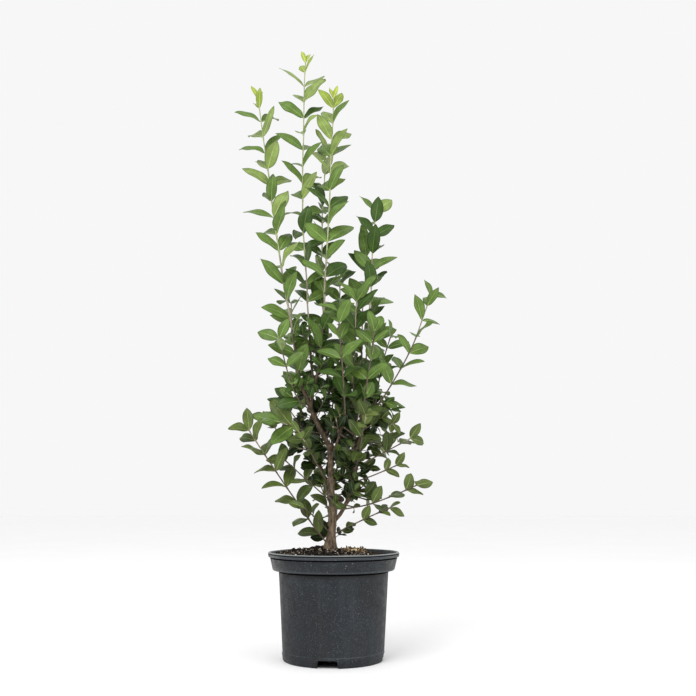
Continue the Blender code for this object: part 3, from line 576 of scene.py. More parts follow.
@dataclass
class Leaf:
    """A blade that bends away from its stem."""

    root: Vector
    axis: Vector
    normal: Vector
    length: float
    young: float = 0.0
    is_small: bool = False

    def point(self, along, side, rise):
        """A point at a share of the length, set off sideways and along the blade's normal."""
        angle = LEAF_CURL * along
        forward = sin(angle) / LEAF_CURL * self.length
        drop = (1 - cos(angle)) / LEAF_CURL * self.length
        across = self.axis.cross(self.normal)
        up = self.normal * cos(angle) + self.axis * sin(angle)
        return self.root + self.axis * forward - self.normal * drop + across * side + up * rise

    def solid(self, swell=0.0):
        """Corners and faces of the blade: two above, creased across its widest line, and four below."""
        half = LEAF_HALF_WIDTH * self.length + swell
        corners = [
            self.root,
            self.point(LEAF_WIDEST, half, 0),
            self.point(1 + swell / self.length, 0, 0),
            self.point(LEAF_WIDEST, -half, 0),
            self.point(LEAF_WIDEST, 0, -LEAF_THICKNESS * self.length - swell),
        ]
        return corners, [(0, 1, 3), (1, 2, 3), (1, 0, 4), (2, 1, 4), (3, 2, 4), (0, 3, 4)]


@dataclass
class Mass:
    """One stem with everything that grows on it, and where its leaf pairs and side shoots sit."""

    stem: Limb
    leaf: float = 0.0
    bare: float = 0.0
    turn: float = 0.0
    twigs: int = 0
    youngness: float = 0.0
    limbs: list = field(default_factory=list)
    leaves: list = field(default_factory=list)
    nodes: list = field(default_factory=list)
    side: list = field(default_factory=list)

    @property
    def name(self):
        return self.stem.name


def between(low, high, share):
    return low + (high - low) * share


def clamped(share):
    return min(1.0, max(0.0, share))


def smooth(points, steps=8):
    """A smooth curve through the points."""
    ends = [2 * points[0] - points[1], *points, 2 * points[-1] - points[-2]]
    curve = [points[0]]
    for before, start, end, after in zip(ends, ends[1:], ends[2:], ends[3:]):
        for step in range(1, steps + 1):
            t = step / steps
            straight = 2 * start + (end - before) * t
            bend = (2 * before - 5 * start + 4 * end - after) * t**2
            twist = (3 * start - before - 3 * end + after) * t**3
            curve.append((straight + bend + twist) / 2)
    return curve


def limb_through(name, points, foot_radius, tip_radius, ring_step, sway=0.0):
    """A limb whose line runs through the points in even steps, swaying a little at each."""
    rng = random.Random(name)
    curve = Limb(name, smooth([Vector(point) for point in points]), foot_radius, tip_radius)
    steps = max(2, round(curve.length / ring_step))
    line = []
    for i in range(steps + 1):
        offset = Vector((rng.uniform(-1, 1), rng.uniform(-1, 1), 0)) * sway
        line.append(curve.at(i / steps) + (offset if 0 < i < steps else Vector()))
    return Limb(name, line, foot_radius, tip_radius)


def tube_faces(rings, sides, tubes=1):
    """Quads and end caps of some tubes, whose corners run ring by ring and tube by tube."""
    start = np.arange(tubes)[:, None, None] * rings * sides
    low = start + np.arange(rings - 1)[None, :, None] * sides
    k = np.arange(sides)
    after = (k + 1) % sides
    quads = np.stack([low + k, low + after, low + sides + after, low + sides + k], -1)
    foot = start[:, 0] + k
    return quads.reshape(-1, 4), np.concatenate([foot[:, ::-1], foot + (rings - 1) * sides])


def tube(limb, sides, grow=0.0):
    """Corners and faces of a limb, made thicker and longer by a margin."""
    corners = []
    for i, centre in enumerate(limb.line):
        along = limb.share(i)
        if i == len(limb.line) - 1:
            centre = centre + limb.heading(along) * grow
        corners += [centre + out * (limb.radius(along) + grow) for _, out in limb.ring(i, sides)]
    quads, caps = tube_faces(len(limb.line), sides)
    return corners, caps.tolist() + quads.tolist()


def corners_box(corners):
    low = Vector([min(corner[i] for corner in corners) for i in range(3)])
    high = Vector([max(corner[i] for corner in corners) for i in range(3)])
    return low, high


def open_places(limbs, shares):
    """Places along the limbs that stay open to view."""
    places = []
    for name, (low, high) in shares.items():
        places += [limbs[name].at(between(low, high, i / OPEN_STEPS)) for i in range(OPEN_STEPS + 1)]
    return places


class Room:
    """Every limb and leaf that already stands, by the cells of a grid, so that new ones can keep clear."""

    def __init__(self, limbs, masses):
        self.cells = {}
        self.masses = masses
        self.open_places = open_places(limbs, OPEN_LIMBS)

    def near(self, low, high):
        spans = [range(math.floor(low[i] / CELL), math.floor(high[i] / CELL) + 1) for i in range(3)]
        return itertools.product(*spans)

    def add(self, owner, node, shape):
        """Holds a shape for a mass; node is None for a limb, and names the pair for a leaf."""
        low, high = corners_box(shape[0])
        entry = (owner, node, low, high, BVHTree.FromPolygons(*shape))
        for cell in self.near(low, high):
            self.cells.setdefault(cell, []).append(entry)

    def is_free(self, owner, node, shape, swollen):
        """Whether a shape misses its own mass's other leaves, and its swollen form all other masses."""
        low, high = corners_box(swollen[0])
        found = {}
        for cell in self.near(low, high):
            for entry in self.cells.get(cell, ()):
                if all(high[i] >= entry[2][i] and entry[3][i] >= low[i] for i in range(3)):
                    found[id(entry)] = entry
        if not found:
            return True
        plain_tree = BVHTree.FromPolygons(*shape)
        swollen_tree = BVHTree.FromPolygons(*swollen)
        for other, other_node, _, _, other_tree in found.values():
            if other != owner and swollen_tree.overlap(other_tree):
                return False
            if other == owner and other_node not in (None, node) and plain_tree.overlap(other_tree):
                return False
        return True

    def free_for_twig(self, owner, twig):
        return self.is_free(owner, None, tube(twig, STEM_SIDES), tube(twig, STEM_SIDES, CLEARANCE))


def direction_at(limb, along, turn, angle):
    """A direction that leaves a limb at an angle to it, turned round it."""
    heading, first, second = limb.frame(along)
    radial = first * cos(turn) + second * sin(turn)
    return (heading * cos(angle) + radial * sin(angle)).normalized()


def leaf_at(limb, along, turn, angle, length, roll, young=0.0, is_small=False):
    """A leaf rooted in a limb, its upper side turned to the limb's tip and the light, then rolled."""
    axis = direction_at(limb, along, turn, angle)
    heading = limb.heading(along)
    facing = heading - axis * axis.dot(heading)
    # The light comes from the front on the open shoots, and more from above in the low crown
    share = (limb.at(along).z - SHADE_HEIGHT) / (OPEN_HEIGHT - SHADE_HEIGHT)
    light = SHADE_LIGHT.lerp(OPEN_LIGHT, clamped(share))
    lit = light - axis * axis.dot(light)
    normal = (facing + lit * LIGHT_PULL).normalized()
    normal = Matrix.Rotation(roll, 3, axis) @ normal
    return Leaf(limb.at(along) - axis * ROOT_DEPTH, axis, normal, length, young, is_small)


def node_places(limb, bare):
    """Shares of a limb's length where leaf pairs sit, closer together near the tip."""
    places = []
    left = limb.length - LAST_PAIR_BACK
    step = NODE_SPACING * TOP_SPACING
    while left > limb.length * bare + NODE_SPACING * LOWEST_PAIR:
        places.append(left / limb.length)
        left -= step
        step = min(NODE_SPACING, step * SPACING_GROWTH)
    return list(reversed(places))


def keeps_space(mass, room, leaf):
    """Whether a leaf stays in the space that is nearer its own stem than any other."""
    point = leaf.point(SPACE_PROBE, 0, 0)
    own = min(limb.distance(point) for limb in mass.limbs)
    return all(own < other.stem.distance(point) + SPACE_SLACK for other in room.masses if other is not mass)


def is_inside(leaf):
    """Whether a leaf's tip stays in the part's own box."""
    tip = leaf.point(1, 0, 0)
    return all(cad_low[i] < tip[i] < cad_high[i] for i in range(3))


def hides_limb(room, leaf):
    """Whether a leaf lies in front of a limb that stays open to view."""
    margin = OPEN_MARGIN + OPEN_LEAF_SHARE * leaf.length
    for share in OPEN_PROBES:
        point = leaf.point(share, 0, 0)
        for open_place in room.open_places:
            aside = hypot(point.x - open_place.x, point.z - open_place.z)
            if point.y < open_place.y and aside < margin:
                return True
    return False


def fit_leaf(mass, room, node, sprouts):
    """Adds the first of some leaves that has room, and holds its room for a pair's node."""
    for leaf in sprouts:
        kept = is_inside(leaf) if leaf.is_small else keeps_space(mass, room, leaf)
        kept = kept and not hides_limb(room, leaf)
        if kept and room.is_free(mass.name, node, leaf.solid(), leaf.solid(CLEARANCE)):
            mass.leaves.append(leaf)
            room.add(mass.name, node, leaf.solid())
            return


def grow_leaves(mass, room, limb, rng, size, bare, turn):
    """Pairs of leaves along a limb, each pair square to the last; one with no room is turned or left out."""
    places = node_places(limb, bare)
    for index, along in enumerate(places):
        from_top = len(places) - 1 - index
        young = max(0.0, 1 - from_top / YOUNG_PAIRS) * mass.youngness
        angle = between(LEAF_ANGLE, YOUNG_LEAF_ANGLE, young)
        length = size * (1 - YOUNG_SHORTER * young)
        pair_turn = turn + from_top * pi / 2 + rng.uniform(-PAIR_SWING, PAIR_SWING)
        mass.nodes.append((limb, along, pair_turn))
        for side in (0, pi):
            stretched = length * rng.uniform(*LEAF_STRETCH)
            leaning = angle + rng.uniform(-LEAF_LEAN, LEAF_LEAN) * (1 - young / 2)
            roll = rng.uniform(-LEAF_ROLL, LEAF_ROLL)
            turns = [pair_turn + side + swing for swing in RETRIES]
            sprouts = [leaf_at(limb, along, own, leaning, stretched, roll, young) for own in turns]
            fit_leaf(mass, room, (limb.name, index), sprouts)


def grow_twigs(mass, room, rng):
    """Side twigs from the stem's lower nodes, to both sides in turn, each about as long as a leaf."""
    for index in range(mass.twigs):
        along = TWIG_FOOT + TWIG_SPAN * index / mass.twigs
        turn = mass.turn + index * TWIG_TURN
        for side, hand in ((0, "right"), (pi, "left")):
            axis = direction_at(mass.stem, along, turn + side, rng.uniform(*TWIG_ANGLES))
            foot = mass.stem.at(along)
            tip = foot + axis * mass.leaf * rng.uniform(*TWIG_STRETCH)
            name = f"{mass.name}_{index}_{hand}"
            twig = limb_through(name, [foot, (foot + tip) / 2, tip], *TWIG_RADII, RING_STEP)
            if room.free_for_twig(mass.name, twig):
                room.add(mass.name, None, tube(twig, STEM_SIDES))
                mass.limbs.append(twig)


def planned_mass(name, row, limbs):
    parent, along, bend, tip, leaf, bare, turn = row
    foot = limbs[parent].at(along)
    thick = STEM_RADIUS + STEM_THICKENING * (Vector(tip) - foot).length
    radius = min(limbs[parent].radius(along) - 2 * GAP, thick)
    stem = limb_through(name, [foot, bend, tip], radius, STEM_TIP_RADIUS, RING_STEP, SWAY)
    twigs = BUSH_TWIGS if name in BUSHES else 0
    youngness = 1.0 if name in GROWING else GROWN_YOUNGNESS
    return Mass(stem, leaf, bare, radians(turn), twigs, youngness, [stem])


def plan_limbs():
    """Trunk, leader and boughs."""
    limbs = {"trunk": limb_through("trunk", TRUNK_LINE, *TRUNK_RADII, TRUNK_RING_STEP)}
    for name, (parent, along, bends, foot_radius, tip_radius) in {"leader": LEADER, **BOUGHS}.items():
        line = [limbs[parent].at(along), *bends]
        limbs[name] = limb_through(name, line, foot_radius, tip_radius, BOUGH_RING_STEP)
    return limbs


def grow_crown(limbs):
    """Every mass as the part grows it, then side shoots and leafy inner twigs in the room that is left."""
    masses = [planned_mass(name, row, limbs) for name, row in MASSES.items()]
    room = Room(limbs, masses)
    for name, limb in limbs.items():
        room.add(name, None, tube(limb, TRUNK_SIDES if name == "trunk" else BOUGH_SIDES, GAP))
    for mass in masses:
        room.add(mass.name, None, tube(mass.stem, STEM_SIDES, GAP))
    for mass in masses:
        rng = random.Random(mass.name + " twigs")
        grow_twigs(mass, room, rng)
        for twig in mass.limbs[1:]:
            grow_leaves(mass, room, twig, rng, mass.leaf * TWIG_LEAF, TWIG_BARE, TWIG_LEAF_TURN)
    for mass in masses:
        rng = random.Random(mass.name + " leaves")
        grow_leaves(mass, room, mass.stem, rng, mass.leaf, mass.bare, mass.turn)
    room.open_places = open_places(limbs, OPEN_TO_TWIGS)
    for mass in masses:
        grow_axils(mass, room)
    return masses, grow_inner_twigs(limbs, room)


def leafiness(height):
    """How full the axils are at a height: 1 in the bushy middle, 0 along the bare tops of the shoots."""
    below = (BARE_AXILS - height) / (BARE_AXILS - FULL_AXILS)
    above = max(LOW_AXILS, (height - LOW_HEIGHT) / (RICH_HEIGHT - LOW_HEIGHT))
    return min(1.0, max(0.0, below), above)


def grow_side_shoot(mass, room, rng, foot, axis, length, size, pairs):
    """A short twig with its own pairs of small leaves; it is left out where it has no room."""
    name = f"{mass.name} side {len(mass.side)}"
    tip = foot + axis * length
    twig = Limb(name, [foot, foot.lerp(tip, 0.5), tip], *SIDE_RADII)
    if not room.free_for_twig(mass.name, twig):
        return
    grown = len(mass.leaves)
    for pair in range(pairs):
        is_top = pair == 0
        along = 1 - SIDE_LEAF_SPAN * pair / pairs - SIDE_TIP
        angle = between(LEAF_ANGLE, YOUNG_LEAF_ANGLE, TOP_STEEPER * is_top)
        turn = rng.uniform(0, pi) + pair * pi / 2
        for side in (0, pi):
            stretched = size * (1 - TOP_SMALLER * is_top) * rng.uniform(*LEAF_STRETCH)
            roll = rng.uniform(-LEAF_ROLL, LEAF_ROLL) * SIDE_ROLL
            turns = [turn + side + swing for swing in SIDE_RETRIES]
            sprouts = [leaf_at(twig, along, own, angle, stretched, roll, 0.0, True) for own in turns]
            fit_leaf(mass, room, (name, pair), sprouts)
    if len(mass.leaves) > grown:
        mass.side.append(twig)
        room.add(mass.name, None, tube(twig, STEM_SIDES))


def grow_axils(mass, room):
    """Side shoots in the axils of a mass's own leaves, longer and fuller towards the foot of the shrub."""
    rng = random.Random(mass.name + " axils")
    rich = SPRAY_AXILS if mass.name in SPRAYS else 1.0
    for limb, along, turn in mass.nodes:
        foot = limb.at(along)
        outer = min(1.0, hypot(foot.x, foot.y) / CROWN_RADIUS)
        full = leafiness(foot.z) * rich * (1 - OUTER_SPARSER * outer * (foot.z < FULL_AXILS))
        for side in (0, pi):
            length = between(*AXIL_LENGTHS, full) * rng.uniform(*AXIL_STRETCH)
            size = between(*AXIL_LEAVES, full) * rng.uniform(*AXIL_LEAF_STRETCH)
            angle = rng.uniform(*AXIL_ANGLES)
            if rng.random() > between(*AXIL_CHANCES, full) or along > TIP_AXILS:
                continue
            axis = direction_at(limb, along, turn + side + rng.uniform(-AXIL_SWING, AXIL_SWING), angle)
            pairs = 1 + sum(full > step for step in PAIR_STEPS)
            grow_side_shoot(mass, room, rng, foot, axis, length, size, pairs)


def grow_inner_twigs(limbs, room):
    """Leafy twigs along the boughs, which fill the heart of the crown."""
    hearts = []
    for name, limb in limbs.items():
        heart = Mass(limb, limbs=[limb])
        rng = random.Random(name + " heart")
        step = TRUNK_TWIG_STEP if name == "trunk" else INNER_STEP
        count = round(limb.length * (1 - INNER_BARE) / step)
        for index in range(count):
            along = INNER_BARE + (1 - INNER_BARE) * (index + rng.uniform(*INNER_SWING)) / count
            for side in (0, pi):
                axis = direction_at(limb, along, index * TWIG_TURN + side, rng.uniform(*INNER_ANGLES))
                length = rng.uniform(*INNER_LENGTHS)
                size = rng.uniform(*INNER_LEAVES)
                pairs = max(1, round(length / INNER_PAIR_STEP))
                grow_side_shoot(heart, room, rng, limb.at(along), axis, length, size, pairs)
        hearts.append(heart)
    return hearts


def eye(red, green, blue):
    """A colour as the eye reads it, 0 to 255 each, in linear light."""
    shares = [value / 255 for value in (red, green, blue)]
    return tuple(share / 12.92 if share < 0.04045 else ((share + 0.055) / 1.055) ** 2.4 for share in shares)


def scaled(colour, factor):
    return tuple(channel * factor for channel in colour)


class Signal:
    """What comes out of a node, to be reckoned with like a number."""

    def __init__(self, paint, socket):
        self.paint = paint
        self.socket = socket

    def maths(self, operation, other=0.0):
        return self.paint.node("Math", {0: self, 1: other}, "Value", operation=operation)

    def __add__(self, other):
        return self.maths("ADD", other)

    def __sub__(self, other):
        return self.maths("SUBTRACT", other)

    def __mul__(self, other):
        return self.maths("MULTIPLY", other)

    def __abs__(self):
        return self.maths("ABSOLUTE")

    def band(self, low, high, start=0.0, end=1.0):
        """Runs from start to end as the signal goes from low to high."""
        inputs = {"Value": self, "From Min": low, "From Max": high, "To Min": start, "To Max": end}
        return self.paint.node("MapRange", inputs, "Result")


class Paint:
    """A Principled material whose colour, roughness and relief come from nodes."""

    def __init__(self, name, roughness, specular=0.5):
        self.material = bpy.data.materials.new(name)
        self.material.use_nodes = True
        self.tree = self.material.node_tree
        self.inputs = self.tree.nodes["Principled BSDF"].inputs
        self.inputs["Roughness"].default_value = roughness
        self.inputs["Specular IOR Level"].default_value = specular
        self.place = self.node("TexCoord", {}, "Object")

    def node(self, kind, inputs, output, **settings):
        """The output of a new node with its settings and inputs."""
        node = self.tree.nodes.new("ShaderNode" + kind)
        for name, value in settings.items():
            setattr(node, name, value)
        for name, value in inputs.items():
            self.set(node.inputs[name], value)
        return Signal(self, node.outputs[output])

    def set(self, socket, value):
        if isinstance(value, Signal):
            self.tree.links.new(value.socket, socket)
        else:
            socket.default_value = (*value, 1) if socket.type == "RGBA" else value

    def mapped(self, stretch):
        return self.node("Mapping", {"Scale": stretch, "Vector": self.place}, "Vector")

    def noise(self, scale, detail=3.0, stretch=(1, 1, 1)):
        inputs = {"Scale": scale, "Detail": detail, "Vector": self.mapped(stretch)}
        return self.node("TexNoise", inputs, "Fac")

    def cells(self, scale, stretch=(1, 1, 1)):
        """Distance to the nearest of some scattered points, in units of their spacing."""
        return self.node("TexVoronoi", {"Scale": scale, "Vector": self.mapped(stretch)}, "Distance")

    def mix(self, share, first, second):
        return self.node("Mix", {"Factor": share, 6: first, 7: second}, 2, data_type="RGBA")

    def layered(self, tint, *layers):
        """A colour with others laid over it in turn, each by its own share."""
        for share, colour in layers:
            tint = self.mix(share, tint, colour)
        return tint

    def uv(self, axis):
        """A place on a leaf: X along its midrib, or Y across it from 0 to 1."""
        place = self.node("UVMap", {}, "UV", uv_map=LEAF_MAP)
        return self.node("SeparateXYZ", {0: place}, axis)

    def position(self, axis):
        return self.node("SeparateXYZ", {0: self.place}, axis)

    def finish(self, colour, roughness=None, relief=None, depth=0.0):
        self.set(self.inputs["Base Color"], colour)
        if roughness:
            self.set(self.inputs["Roughness"], roughness)
        if relief:
            bump = {"Strength": 1.0, "Distance": depth, "Height": relief}
            self.set(self.inputs["Normal"], self.node("Bump", bump, "Normal"))
        return self.material


def blade_paint(name, colour, rib, roughness, relief):
    """A leaf's surface: mottled, with faint pale side veins and a margin and tip darkened as painted shade.
    """
    paint = Paint(name, roughness, 0.20)
    along = paint.uv("X")
    from_midrib = abs(paint.uv("Y") - 0.5)
    # The side veins leave the midrib at a slant, and fade towards the margin
    slanted = (along - from_midrib * VEIN_SLANT) * (VEINS * 2 * pi)
    veins = slanted.maths("SINE").band(0.80, 1.0) * from_midrib.band(0.05, 0.46, 1.0, 0.0)
    # Painted shade: the margin and the tip darken towards a third of the leaf's colour
    margin = from_midrib.band(0.38, 0.50, 0.0, 0.85).maths("MAXIMUM", along.band(0.90, 1.0, 0.0, 0.8))
    blotch = paint.noise(55, 2.0).band(0.34, 0.66)
    tint = paint.layered(
        paint.mix(blotch, scaled(colour, 0.80), scaled(colour, 1.18)),
        (veins * 0.24, rib),
        (margin, scaled(colour, 0.35)),
    )
    rough = paint.noise(160, 2.0).band(0.3, 0.7, roughness - 0.06, roughness + 0.08)
    return paint.finish(tint, rough, veins * relief + paint.noise(900, 2.0) * 0.15, VEIN_DEPTH)


def grained_paint(paint, grain, band, colours, relief=None, depth=0.0):
    """Two colours that mingle by one noise, with relief by another where it is given."""
    tint = paint.mix(paint.noise(*grain).band(*band), *colours)
    return paint.finish(tint, None, paint.noise(*relief) if relief else None, depth)


def rib_paint(name, colour):
    return grained_paint(Paint(name, 0.5), (240,), (0.3, 0.7), (scaled(colour, 0.85), scaled(colour, 1.1)))


def crumb_paint(name, colour, spread):
    colours = scaled(eye(*colour), 1 - spread), scaled(eye(*colour), 1 + spread)
    return grained_paint(Paint(name, 0.95, 0.2), (420, 4.0), (0.3, 0.7), colours, (1300, 4.0), 0.0008)


def cut_paint():
    """Weathered end grain with growth rings round the pith."""
    rings = (1500, 2.0, (1, 1, 0.3))
    colours = [eye(*colour) for colour in CUT_WOOD]
    return grained_paint(Paint("cut_wood", 0.8, 0.3), rings, (0.35, 0.65), colours, rings, 0.0003)


def shade_line_paint():
    """Painted shade: near-black plastic without a shine, laid on the folds that no light reaches."""
    colours = (0.001, 0.001, 0.001), (0.004, 0.005, 0.006)
    return grained_paint(Paint("pot_seam", 0.9, 0.03), (420,), (0.0, 1.0), colours, (1400, 2.0), 0.0001)


def floor_paint():
    colours = eye(253, 253, 253), eye(255, 255, 255)
    return grained_paint(Paint("pale_floor", 0.75, 0.2), (2.2,), (0.3, 0.7), colours)


def leaf_paints(tone):
    """Materials of one tone of leaf: upper side, underside and midrib."""
    top, under, rib = [eye(*colour) for colour in LEAF_TONES[tone]]
    return [
        blade_paint(f"leaf_top_{tone}", top, rib, 0.36, -1.0),
        blade_paint(f"leaf_under_{tone}", under, rib, 0.55, 1.0),
        rib_paint(f"leaf_rib_{tone}", rib),
    ]


def bark_paint(name):
    """Bark with long streaks, pale patches, pores and dark cracks."""
    *colours, scale, depth = BARKS[name]
    dark, pale, crack = [eye(*colour) for colour in colours]
    paint = Paint(name, 0.85, 0.3)
    streaks = paint.noise(scale, 5.0, (1, 1, 0.28))
    patches = paint.noise(scale * 0.35)
    cracks = paint.noise(scale * 2.2, 4.0, (1, 1, 0.16)).band(0.60, 0.70)
    pores = paint.cells(scale * 2.0, (1, 1, 1.8)).band(0.10, 0.22, 1.0, 0.0)
    tint = paint.layered(
        paint.mix(streaks.band(0.36, 0.64), dark, pale),
        (patches.band(0.52, 0.70, 0.0, 0.45), scaled(pale, 1.35)),
        (cracks, crack),
        (pores * 0.5, scaled(pale, 1.6)),
    )
    return paint.finish(tint, patches.band(0.3, 0.7, 0.72, 0.92), streaks + pores * 0.6 - cracks, depth)


def twig_paint(name):
    """Smooth young bark with fine streaks and pale pores."""
    dark, pale = [eye(*colour) for colour in TWIG_COLOURS[name]]
    paint = Paint(name, 0.6, 0.35)
    streaks = paint.noise(520, 3.0, (1, 1, 0.3)).band(0.35, 0.65)
    pores = paint.cells(900).band(0.12, 0.25, 1.0, 0.0)
    tint = paint.layered(paint.mix(streaks, dark, pale), (pores * 0.35, scaled(pale, 1.35)))
    return paint.finish(tint, None, streaks + pores, 0.00012)


def plastic_paint():
    """Matte dark plastic under dust, with pale specks, dried water spots and faint runs down the wall, a
    painted shadow under the collar, a painted highlight along the rim, and scuffs with painted sheen at the
    collar's ends.
    """
    paint = Paint("pot_plastic", 0.45, 0.32)
    dark, pale, dust = eye(*PLASTIC_DARK), eye(*PLASTIC_PALE), eye(*DUST)
    height, across = paint.position("Z"), paint.position("X")
    above_collar = height.band(COLLAR_FOOT, COLLAR_FOOT + ROUNDING)

    runs = paint.noise(60, 3.0, (1, 1, 0.10)).band(0.50, 0.75, 0.0, 0.10)
    spots = paint.cells(230).band(0.16, 0.30, 1.0, 0.0) * paint.noise(38).band(0.48, 0.62)
    specks = paint.noise(640, 2.0).band(0.58, 0.66)
    pits = paint.noise(520, 2.0, (1, 1, 1.3)).band(0.30, 0.40, 0.5, 0.0)
    splash = paint.noise(330).band(0.68, 0.73) * height.band(COLLAR_FOOT - 0.01, POT_HEIGHT, 0.15, 0.75)

    # Painted shadow under the collar; a worn, dusty edge at the collar's foot; the lip and all above it a
    # little paler; a broken pale line along the ridge low on the wall; and a painted highlight along the
    # rim's top edge
    shade = height.band(COLLAR_FOOT - COLLAR_SHADE, COLLAR_FOOT - COLLAR_SHADE_LINE, 0.0, 0.9) - above_collar
    worn = height.band(COLLAR_FOOT + ROUNDING, COLLAR_FOOT + WORN_EDGE, 0.34, 0.0) * above_collar
    lip = height.band(LIP_FOOT, LIP_FOOT + ROUNDING, 0.0, 0.3)
    ridge = abs(height - FOOT_LINE).band(0.3 * FOOT_LINE_WIDTH, FOOT_LINE_WIDTH, 0.34, 0.0)
    # A painted highlight along the rim's top edge
    rim = height.band(POT_HEIGHT - 2 * RIM_HIGHLIGHT_WIDTH, POT_HEIGHT - RIM_HIGHLIGHT_WIDTH)

    # The collar's two ends on the front take pale specks: scuffs, and painted sheen where the light grazes
    # the curve, the right end at half strength
    ends = across.band(-SCUFF_AND_SHEEN_START, -SCUFF_AND_SHEEN_END) + across.band(SCUFF_AND_SHEEN_START, SCUFF_AND_SHEEN_END, 0.0, RIGHT_SCUFFS_AND_SHEEN)
    scuffed_and_sheen = ends * above_collar * paint.position("Y").band(-SCUFF_AND_SHEEN_REACH, SCUFF_AND_SHEEN_REACH, 1.0, 0.0)
    scuff_and_sheen_specks = paint.noise(760).band(0.46, 0.56) * paint.noise(60, 4.0).band(0.36, 0.60, 0.15, 0.80)

    tint = paint.layered(
        paint.mix(paint.noise(14, 4.0).band(0.35, 0.65), dark, pale),
        (runs, dust),
        (spots * 0.34, dust),
        (specks * 0.38, dust),
        (pits, scaled(dark, 0.5)),
        (splash, eye(*SPLASH)),
        (shade.maths("MAXIMUM"), (0.0, 0.0, 0.0)),
        (worn, dust),
        (lip, dust),
        (ridge * paint.noise(30).band(0.35, 0.60), dust),
        (scuffed_and_sheen * scuff_and_sheen_specks, eye(*SCUFF_AND_SHEEN)),
        (rim * 0.85, eye(*RIM_HIGHLIGHT)),
    )
    rough = paint.noise(90).band(0.3, 0.7, 0.42, 0.62)
    return paint.finish(tint, rough, paint.noise(1400, 2.0) + paint.noise(70, 2.0) * 0.8, 0.00022)


def link(name, data):
    """A new object in the scene."""
    obj = bpy.data.objects.new(name, data)
    bpy.context.scene.collection.objects.link(obj)
    return obj


def add_mesh(name, parts, materials, uv=None):
    """A smooth mesh joined from parts: corners, arrays of faces of one size each, and the faces' slots."""
    faces = []
    held = 0
    for corners, groups, _ in parts:
        faces += [group + held for group in groups]
        held += len(corners)
    loops = np.concatenate([group.ravel() for group in faces])
    sizes = np.concatenate([np.full(len(group), group.shape[1]) for group in faces])
    mesh = bpy.data.meshes.new(name)
    mesh.vertices.add(held)
    mesh.vertices.foreach_set("co", np.concatenate([part[0] for part in parts]).astype(np.float32).ravel())
    mesh.loops.add(len(loops))
    mesh.loops.foreach_set("vertex_index", loops.astype(np.int32))
    mesh.polygons.add(len(sizes))
    mesh.polygons.foreach_set("loop_start", (np.cumsum(sizes) - sizes).astype(np.int32))
    mesh.polygons.foreach_set("material_index", np.concatenate([part[2] for part in parts]).astype(np.int32))
    if uv is not None:
        layer = mesh.uv_layers.new(name=LEAF_MAP)
        layer.data.foreach_set("uv", uv.astype(np.float32)[loops].ravel())
    mesh.update(calc_edges=True)
    mesh.shade_smooth()
    mesh.set_sharp_from_angle(angle=SHARP_ANGLE)
    for material in materials:
        mesh.materials.append(material)
    return link(name, mesh)


def place(obj, slot, *nodes):
    """Says what a piece rides on, and which solids it stands for; slot is not used."""
    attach(obj, "root")
    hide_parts(*nodes)


def leaf_tone(leaf, mood):
    """Which tone a leaf has: young at growing tips, and as painted light and shade, fresh near the top and
    dark in the shaded heart of the crown.
    """
    height = leaf.root.z
    if leaf.young > YOUNG_TONE and height > YOUNG_FLOOR:
        return "bright" if leaf.young < YOUNGEST_TONE else "young"
    outer = min(1.0, hypot(leaf.root.x, leaf.root.y) / CROWN_RADIUS)
    outer *= float(np.interp(height, OUTER_HEIGHTS, OUTER_SHARES))
    mood *= float(np.interp(height, MOODY_HEIGHTS, MOODINESS))
    value = float(np.interp(height, TONE_HEIGHTS, HEIGHT_TONES)) + mood
    value += OUTER_TONE * outer + YOUNG_LIFT * leaf.young - SMALL_DROP * leaf.is_small
    value += BIG_LIFT * max(0.0, leaf.length - BIG_LEAF)
    tones = LOW_TONES if height < LOW_TOP else MIDDLE_TONES if height < FRESH_FLOOR else TOP_TONES
    return tones[sum(value > step for step in TONE_STEPS)]


def spread(values):
    """Per-leaf numbers, made to spread over a leaf's grid."""
    return np.asarray(values)[:, None, None]


def blade_stations(stations):
    """Shares of the length where corners stand: along the stalk, then closer together towards the tip."""
    stalk = [share * PETIOLE for share in STALK_STATIONS]
    tipward = 1 - (1 - np.linspace(0, 1, stations - len(stalk))) ** TIPWARD
    return np.concatenate([stalk, BLADE_START + (1 - BLADE_START) * tipward])[None, :, None]


def blade_midribs(leaves, u, length, draw):
    """Midribs that bend down from the stem, most near the tip, with the directions across and above them."""
    frames = np.array([[leaf.root, leaf.axis, leaf.normal] for leaf in leaves])
    root, axis, normal = np.moveaxis(frames, 1, 0)[:, :, None, None]
    across = np.cross(axis, normal)
    bend = draw(*BLADE_CURL) * u ** CURL_LATER
    middle = (bend[:, 1:] + bend[:, :-1]) / 2
    step = np.diff(u, axis=1) * length
    start = np.zeros_like(length)
    forward = np.concatenate([start, np.cumsum(step * np.cos(middle), 1)], 1)
    drop = np.concatenate([start, np.cumsum(step * np.sin(middle), 1)], 1)
    line = root + axis * forward[..., None] - normal * drop[..., None]
    up = normal * np.cos(bend)[..., None] + axis * np.sin(bend)[..., None]
    twist = (draw(-BLADE_TWIST, BLADE_TWIST) * u)[..., None]
    side = across * np.cos(twist) + up * np.sin(twist)
    return line, side, up * np.cos(twist) - across * np.sin(twist)


